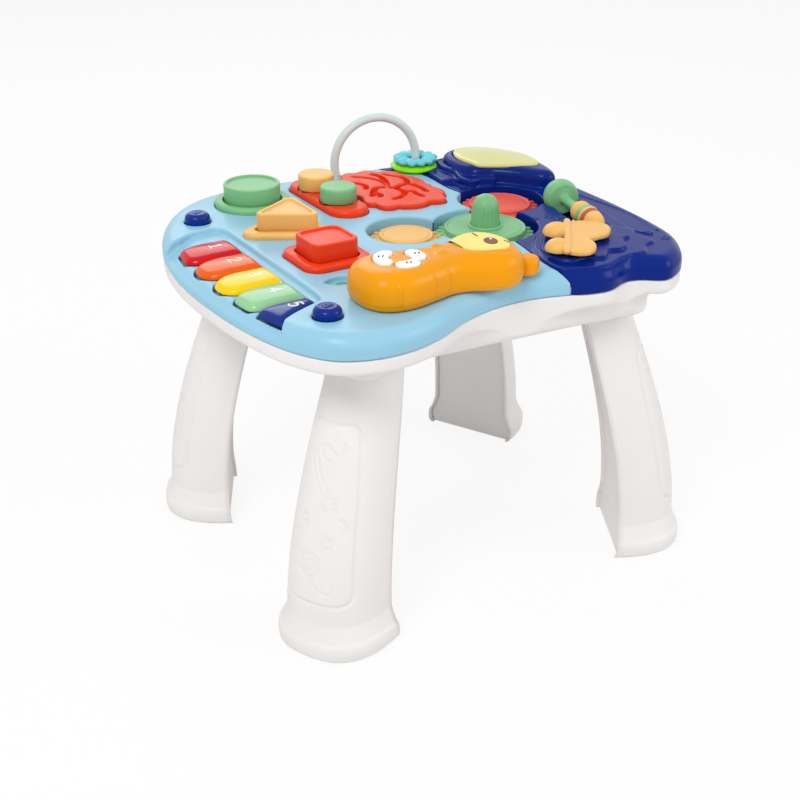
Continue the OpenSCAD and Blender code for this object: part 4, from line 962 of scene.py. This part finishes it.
def tree_field(x, y, z):
    f = both(polygon_distance(x, y, TREE) + 0.3, z - TREE_TOP, 2.4)
    cut = np.full(x.shape, 1e9)
    for width, line in GROOVES:
        cut = np.minimum(cut, line_distance(x, y, stroke(line, 4)) - width)
    f = less(f, both(cut, TREE_TOP - 6 - z, 1.5), 1.0)
    return both(f, SOCKET_LOW - z)


build("tree_face", *net(tree_field, (-8, 43, SOCKET_LOW - 1), (80, 172, TREE_TOP + 1), 0.8),
      "table", "tomato", ["tree_plate"])


# gears
TOOTH_LOW, TOOTH_TOP = GEAR_FLOOR + 2.9, GEAR_FLOOR + 10.9
GREEN_PLATE, SMALL_PLATE = 5.9, 3.3
TOOTH_SIDE = [0, 0.2, 0.4, 0.55, 0.68, 0.76, 0.82, 0.92, 1.1, 1.6]
TOOTH_OUT = [0.8, 0.77, 0.66, 0.48, 0.2, -0.2, -0.6, -0.98, -1.12, -1.15]


def gear(name, at, r, teeth, turn, plate_r, plate_h, slot):
    a = np.arange(teeth * 18) * 2 * pi / (teeth * 18)
    part = (a - turn) * teeth / (2 * pi)
    side = np.abs(part - np.round(part)) * pi
    tooth = r + MODULE * np.interp(side, TOOTH_SIDE, TOOTH_OUT)

    def ring(radius):
        return around(at, radius, a)

    top = TOOTH_TOP + plate_h
    rows = [(ring(tooth - 0.9), TOOTH_LOW), (ring(tooth), TOOTH_LOW + 0.9)]
    rows += [(ring(tooth - i), z) for i, z in fillet(0, TOOTH_TOP, 1.6, 6)]
    first = min(plate_r, r - 1.15 * MODULE - 1.8)
    rows += [(ring(first), TOOTH_TOP + 0.1), (ring(plate_r), TOOTH_TOP + 0.5)]
    rows += [(ring(plate_r - i), z) for i, z in fillet(0, top, 1.2, 5)]
    groove = [(2.6, 0), (3.0, -0.5), (3.5, -0.7), (4.0, -0.5), (4.4, 0), (5.4, 0), (12, 0.1)]
    rows += [(ring(plate_r - i), top + z) for i, z in groove]
    build("wheel_" + name, *moulded(rows), "gear_" + name, slot, ["gear_" + name])


def follower_turn(degrees, teeth):
    return radians(degrees + 180 + (0.5 + degrees * 28 / 360) * 360 / teeth)


gear("green", GREEN_AT, GREEN_R, 28, 0.0, 36.6, GREEN_PLATE, "sage")
gear("yellow", YELLOW_AT, YELLOW_R, 20, follower_turn(160, 20), 24.2, SMALL_PLATE, "honey")
gear("red", RED_AT, RED_R, 23, follower_turn(45.6, 23), 29.2, SMALL_PLATE, "coral")


def knob():
    ribs = 18
    a = np.arange(ribs * 12) * 2 * pi / (ribs * 12)
    wave = np.maximum(np.cos(a * ribs), -0.35)
    rows = [
        (15.6, 0, 0), (15.6, 1.0, 0), (15.1, 1.9, 0), (14.3, 2.2, 0), (13.5, 2.0, 0), (13.2, 0.8, 0),
        (12.3, 0.8, 0.2), (12.4, 2.4, 0.5), (12.2, 8, 0.55), (12.0, 13, 0.55), (11.9, 15.5, 0.4),
        (11.9, 17, 0), (11.8, 18.4, 0), (11.4, 20.6, 0), (10.5, 23.2, 0), (9.1, 25.4, 0), (7.2, 27.2, 0),
        (4.8, 28.5, 0), (2.2, 29.2, 0)]
    rings = [level(around(GREEN_AT, r + k * wave, a), TOOTH_TOP + GREEN_PLATE + z) for r, z, k in rows]
    build("thimble", *loft(rings), "gear_green", "sage", ["gear_knob"])


knob()


# windows
def window():
    middle = LENS_OUTLINE.mean(0)
    inner = inward(LENS_OUTLINE, 1.6)
    rows = [(inward(LENS_OUTLINE, 0.4), DECK + 14.5), (inward(LENS_OUTLINE, 0.4), DECK + 17.2)]
    rows += [(inward(LENS_OUTLINE, 0.4 + i), z) for i, z in fillet(0, DECK + 18.2, 1.0, 4)]
    for k in (0.98, 0.9, 0.75, 0.55, 0.35, 0.15):
        rows.append((middle + (inner - middle) * k, DECK + 18.4 + 1.9 * (1 - k * k)))
    build("night_window", *moulded(rows), "table", "lens", ["lens"])
    rows = [(8.4 * cos(t), DECK - 9 + 5.9 * sin(t)) for t in np.linspace(0, 1.45, 12)]
    build("eye_window", *revolved(EYE_AT, rows, 48), "table", "teal", ["eye_lens"])


window()


# roller
def on_rod(points):
    """Points turned from upright to lying along the roller's rod."""
    p = np.asarray(points, float)
    c, s = cos(ROLLER_TURN), sin(ROLLER_TURN)
    return np.column_stack([BALL_AT[0] + p[:, 2] * c - p[:, 1] * s, BALL_AT[1] + p[:, 2] * s + p[:, 1] * c,
                            ROLLER_Z - p[:, 0]])


def rolled(name, rows, node, slot, look=None):
    pts, quads = revolved((0, 0), rows, 64)
    build(name, on_rod(pts), quads, node, slot, [node], look)


BALL_R = 16.5
ball_rows = [(BALL_R * cos(t), BALL_R * sin(t)) for t in np.linspace(-1.5, 0.505, 22)]
ball_rows += [(13.6, 8.5), (12.4, 8.6), (6, 8.6), (4.9, 9.0), (4.4, 10), (4.3, 22), (4.3, 36), (4.6, 39),
              (3.9, 39.8)]
rolled("roll_ball", ball_rows, "roller_ball", "sage")
bead_rows = [(5, 40.2), (7.4, 40.7), (9.0, 42.4), (9.8, 45), (9.8, 48), (9.2, 51), (7.8, 53.2), (6, 54.1)]
rolled("roll_bead", bead_rows, "roller_bead", "honey")


def taper(z):
    return np.interp(z, [54.4, 55, 56.5, 61.5, 67.5, 74.5, 81.4, 84.6, 86.2],
                     [7, 9, 10.2, 10.6, 10.2, 9.2, 7.6, 5.6, 3.4])


BANDS = ((54.4, 63, "sage"), (62.6, 67, "honey"), (66.6, 72.4, "stripe"), (72, 86.3, "honey"))
for k, (start, end, look) in enumerate(BANDS):
    rows = [(float(taper(z)), z) for z in np.linspace(start, end, 9)]
    rolled("roll_band_%d" % k, rows, "roller_taper", "sage", look)


# butterfly
FLY_LOW, FLY_HIGH = PLATEAU + 2.6, PLATEAU + 7.2
WINGS = smooth([
    (99, -86), (105, -80), (115, -80), (126, -87), (132, -97), (130, -109), (119, -119), (107, -120),
    (98, -122), (95, -133), (88, -142), (78, -146), (68, -141), (64, -131), (72, -124), (86, -106),
    (93, -95)], 5)
FLY_LOBES = (((88, -88), 12.6), ((65, -121), 11.6))
FLY_BODY = [(106, -78), (86, -106), (62, -136)]


def fly_field(x, y, z):
    wings = polygon_distance(x, y, WINGS)
    rim = 0.8 * (1 - step(np.abs(wings + 2.4), 0.7, 1.8))
    f = both(wings, z - FLY_HIGH - rim, 1.6)
    for at, r in FLY_LOBES:
        dome = (np.sqrt((circle_distance(x, y, at, 0) / r) ** 2 + ((z - FLY_LOW - 1) / 9.2) ** 2) - 1) * 9.4
        f = either(f, dome, 2.0)
    body = np.hypot(line_distance(x, y, FLY_BODY), z - FLY_HIGH) - 3.3
    f = either(f, body, 1.6)
    return both(f, FLY_LOW - z, 0.8)


build("butterfly_skin", *net(fly_field, (50, -150, PLATEAU + 1), (136, -70, PLATEAU + 14), 0.75),
      "butterfly", "honey", ["butterfly"])


# arch and rings
def on_arch(radius, angle):
    """The same by radius and angle."""
    return along_arch(radius * cos(angle), ARCH_Z + radius * sin(angle))


def arch():
    across = np.array([-sin(ARCH_TURN), cos(ARCH_TURN), 0])
    b = np.arange(28) * 2 * pi / 28
    rings = []
    for a in np.linspace(*ARCH_ENDS, 100):
        middle = on_arch(ARCH_R, a)
        away = on_arch(ARCH_R + 1, a) - middle
        rings.append(middle + TUBE_R * (np.cos(b)[:, None] * away + np.sin(b)[:, None] * across))
    parts = [loft(rings)]
    for a in ARCH_ENDS:
        foot = on_arch(ARCH_R, a)[:2]
        rows = [(5.1, DECK - 6.4), (5.1, DECK - 0.4), (4.8, DECK + 0.4), (4.0, DECK + 0.6)]
        parts.append(revolved(foot, rows, 32))
    build("arch_tube", *join(parts), "table", "ice", ["arch"])


def hoop(color, z, inner, outer, half, lobes, depth, twist):
    """A ring whose outer side may be drawn into twisted lobes."""
    centre = along_arch(ARCH_R * (1 - ((z - ARCH_Z) / ARCH_R) ** 2) ** 0.5, z)
    b = np.arange(24) * 2 * pi / 24
    rings = []
    for th in np.arange(180) * 2 * pi / 180:
        wave = depth * (np.abs(np.sin(th * lobes / 2 + twist * np.sin(b))) - 0.5) if lobes else 0 * b
        mid, span = (inner + outer) / 2, (outer - inner) / 2
        rho = mid + span * np.sign(np.cos(b)) * np.abs(np.cos(b)) ** 0.8 + wave * (np.cos(b) > 0) * np.cos(b)
        h = half * np.sin(b) + (0.5 * wave * np.sin(b) if lobes else 0)
        rings.append(np.column_stack([rho * cos(th), rho * sin(th), h]) + centre)
    build("hoop_" + color, *loft(rings, loop=True), "ring_" + color, color, ["ring_" + color])


LIME_Z = DECK + 2.9 + 0.3
AQUA_Z = LIME_Z + 2.9 + 3.8 + 0.3
arch()
hoop("lime", LIME_Z, 8.2, 24, 2.9, 0, 0, 0)
hoop("aqua", AQUA_Z, 8.2, 21, 3.0, 12, 3.6, 0.5)


# handset
PHONE_AT, PHONE_Z, PHONE_SPLIT = (-52.0, -125.0), DECK + 0.3, 10.0
HALF_PHONE = [
    (-81, 0), (-79, 15), (-71, 27), (-58, 33), (-42, 33.5), (-22, 29), (-5, 25), (10, 26), (26, 33),
    (40, 36), (52, 33), (61, 25), (66.5, 13), (68, 0)]
PHONE = smooth([(x, -y) for x, y in HALF_PHONE] + HALF_PHONE[-2:0:-1], 4)
EAR_AT, EAR_R = (20.5, -138), 10.2
PETAL_AT, PETAL_ARC, PETAL_HALF = (-91.0, -122.5), 15, 6.3
PETALS = {"right": (-2, 19), "left": (150, 40), "front": (266, 16)}
FACE = smooth([
    (-36, -107), (-29, -101), (-16, -96), (-2, -96), (7, -103), (10, -116), (7, -131), (0, -142),
    (-7, -146), (-14, -144), (-23, -141), (-31, -136), (-36, -128), (-38, -117)], 5)


def phone_skin(x, y, z):
    """The handset's own surface: bulging upper shell, shallow lower shell and the ear."""
    inset = -polygon_distance(x - PHONE_AT[0], y - PHONE_AT[1], PHONE)
    h = z - PHONE_Z - PHONE_SPLIT
    high = (np.maximum(1 - inset / 19, 0) ** 2.6 + (np.maximum(h, 0) / 20) ** 2.6) ** (1 / 2.6) - 1
    low = (np.maximum(1 - inset / 5, 0) ** 2.2 + (np.maximum(-h, 0) / 10) ** 2.2) ** (1 / 2.2) - 1
    f = np.where(h > 0, high * 19, low * 5)
    ear = both(circle_distance(x, y, EAR_AT, EAR_R), np.maximum(z - PHONE_Z - 16, PHONE_Z - z), 6)
    return either(f, ear, 1.6)


def petal_plan(x, y, turn, span):
    dx, dy = x - PETAL_AT[0], y - PETAL_AT[1]
    a = np.arctan2(dy, dx) - radians(turn)
    a = np.abs((a + pi) % (2 * pi) - pi)
    rest = np.maximum(a - radians(span), 0)
    r = np.hypot(dx, dy)
    on_arc = np.hypot(r * np.cos(rest) - PETAL_ARC, r * np.sin(rest))
    return np.where(rest < pi / 2, on_arc, r + PETAL_ARC) - PETAL_HALF


def phone_field(x, y, z):
    f = phone_skin(x, y, z)
    paws = np.full(x.shape, 1e9)
    for px, py, rx, ry in ((-52, -112, 5, 4), (-55, -128, 6, 4.6)):
        paws = np.minimum(paws, (np.hypot((x - px) / rx, (y - py) / ry) - 1) * 4)
    f = f - 2.2 * (1 - step(paws, -4, 1.5)) * (z > PHONE_Z + 18)
    ridge = np.minimum(np.minimum(np.abs(x + 111), np.abs(x + 78)), np.abs(x + 63))
    tall = step(z, PHONE_Z + 5, PHONE_Z + 8) * (1 - step(z, PHONE_Z + 20, PHONE_Z + 24))
    f = f - 1.3 * (1 - step(ridge, 0.3, 1.5)) * tall * (np.abs(y - PHONE_AT[1]) > 20)
    f = f + 0.35 * (1 - step(np.abs(z - PHONE_Z - 4.6), 0.2, 1.1)) * (x < -60)
    petals = np.minimum.reduce([petal_plan(x, y, *petal) for petal in PETALS.values()])
    f = less(f, both(petals - 0.35, -(phone_skin(x, y, z) + 4)), 0.6)
    face = polygon_distance(x, y, FACE)
    f = less(f, both(face - 0.1, -(phone_skin(x, y, z) + 1.6)), 0.3)
    return f + 0.5 * (1 - step(np.abs(face - 4.5), 0.6, 2.2)) * (x > -25)


build("handset_shell", *net(phone_field, (-140, -167, PHONE_Z - 1), (49, -84, PHONE_Z + 34), 0.95),
      "handset", "amber", ["phone_top", "phone_bottom"])


def face_field(x, y, z):
    skin = phone_skin(x, y, z)
    return both(both(polygon_distance(x, y, FACE), skin - 0.4, 0.9), -(skin + 1.5))


build("face_skin", *net(face_field, (-36, -152, PHONE_Z + 14), (16, -96, PHONE_Z + 32), 0.7),
      "handset", "cream", ["phone_face"])


def on_skin(name, plan, body, slot, look, low, high, size=0.4, lift=0.45):
    """A thin mark that lies on the handset's skin."""
    def field(x, y, z):
        return both(plan(x, y), np.abs(phone_skin(x, y, z) - lift) - 0.35)
    build(name, *net(field, (*low, PHONE_Z + 14), (*high, PHONE_Z + 33), size), body, slot, look=look)


def nose_plan(x, y):
    u, v = turned(x, y, (-8.5, -127), radians(75))
    return np.hypot(u / 1.35, v) - 5.6


def brow_plan(x, y):
    left = line_distance(x, y, [(-11, -104), (-11.6, -112)])
    return np.minimum(left, line_distance(x, y, [(2, -131), (3.4, -136)])) - 0.6


# plan of the nose's painted highlight: a small white spot that stands for the glint of light on the brown
# nose
def painted_highlight_plan(x, y):
    return np.hypot(x + 6.5, (y + 124) / 1.4) - 1.1


on_skin("nose", nose_plan, "handset", "amber", "brown", (-18, -137), (1, -117))
on_skin("brows", brow_plan, "handset", "amber", "brown", (-14, -139), (6, -101), 0.35)
# painted highlight: a white mark in the print plastic where light glints on the nose
on_skin("nose_painted_highlight", painted_highlight_plan, "handset", "white", "print", (-10, -128), (-3, -120), 0.35, 0.85)


for name, (turn, span) in PETALS.items():
    def petal_field(x, y, z, turn=turn, span=span):
        skin = phone_skin(x, y, z)
        return both(both(petal_plan(x, y, turn, span), skin - 1.7, 2), -(skin + 2.2), 0.6)

    def spots(x, y, turn=turn, span=span):
        a = radians(turn)
        cx, cy = PETAL_AT[0] + PETAL_ARC * cos(a), PETAL_AT[1] + PETAL_ARC * sin(a)
        d = line_distance(x, y, [(cx - 2.2, cy - 1), (cx - 0.6, cy + 1.2)])
        return np.minimum(d, line_distance(x, y, [(cx + 1, cy - 1.6), (cx + 2.6, cy)])) - 0.55

    corner = np.array(PETAL_AT)
    low, high = (*(corner - 23), PHONE_Z + 20), (*(corner + 23), PHONE_Z + 34)
    body = "petal_" + name
    build(body + "_cap", *net(petal_field, low, high, 0.7), body, "cream", [body], "petal")
    on_skin(body + "_mark", spots, body, "black", "black", corner - 22, corner + 22, lift=1.75)


# stage
def mixed(tree, part, first, second):
    """first, and second as far as part says."""
    return add(tree, "MixShader", {}, {0: part, 1: first.outputs[0], 2: second.outputs[0]}).outputs[0]


def make_stage():
    mesh = bpy.data.meshes.new("floor")
    r = 6.0
    mesh.from_pydata([(-r, -r, 0), (r, -r, 0), (r, r, 0), (-r, r, 0)], [], [(0, 1, 2, 3)])
    floor = put("floor", mesh)
    mat = bpy.data.materials.new("floor_pale")
    mat.use_nodes = True
    tree = mat.node_tree
    values = {"Base Color": (0.86, 0.86, 0.86, 1), "Roughness": 0.9, "Specular IOR Level": 0.0}
    shader = fill(tree, tree.nodes["Principled BSDF"], values, {})
    glow = add(tree, "Emission", {"Color": (1, 1, 1, 1)}, {})
    part = add(tree, "Math", {1: 0.86}, {0: tree.nodes.new("ShaderNodeLightPath").outputs["Is Camera Ray"]})
    part.operation = "MULTIPLY"
    fill(tree, tree.nodes["Material Output"], {}, {"Surface": mixed(tree, part.outputs[0], shader, glow)})
    floor.data.materials.append(mat)


def seen(tree, rays):
    """1 for what the camera sees, also in gloss and through glass."""
    total = rays.outputs["Is Camera Ray"]
    for name in ("Is Glossy Ray", "Is Transmission Ray"):
        node = add(tree, "Math", {}, {0: total, 1: rays.outputs[name]})
        node.operation = "MAXIMUM"
        total = node.outputs[0]
    return total


def make_world():
    world = bpy.data.worlds.new("studio")
    bpy.context.scene.world = world
    world.use_nodes = True
    tree = world.node_tree
    back = fill(tree, tree.nodes["Background"], {"Color": (1, 1, 1, 1), "Strength": 0.62}, {})
    white = add(tree, "Background", {"Color": (1, 1, 1, 1), "Strength": 1.0}, {})
    part = seen(tree, tree.nodes.new("ShaderNodeLightPath"))
    fill(tree, tree.nodes["World Output"], {}, {"Surface": mixed(tree, part, back, white)})


def area(name, at, aim, size, power):
    data = bpy.data.lights.new(name, "AREA")
    data.energy = power
    data.size = size
    lamp = put(name, data)
    lamp.location = at
    lamp.rotation_euler = (Vector(aim) - Vector(at)).to_track_quat("-Z", "Y").to_euler()


make_stage()
make_world()
area("key_lamp", (-1.3, -0.9, 1.9), (0, 0, 0.25), 0.8, 24)
area("fill_lamp", (1.6, -1.4, 1.2), (0, 0, 0.25), 1.0, 12)
area("back_lamp", (0.4, 1.8, 1.5), (0, 0, 0.3), 1.2, 9)
bpy.context.scene.view_settings.view_transform = "Standard"
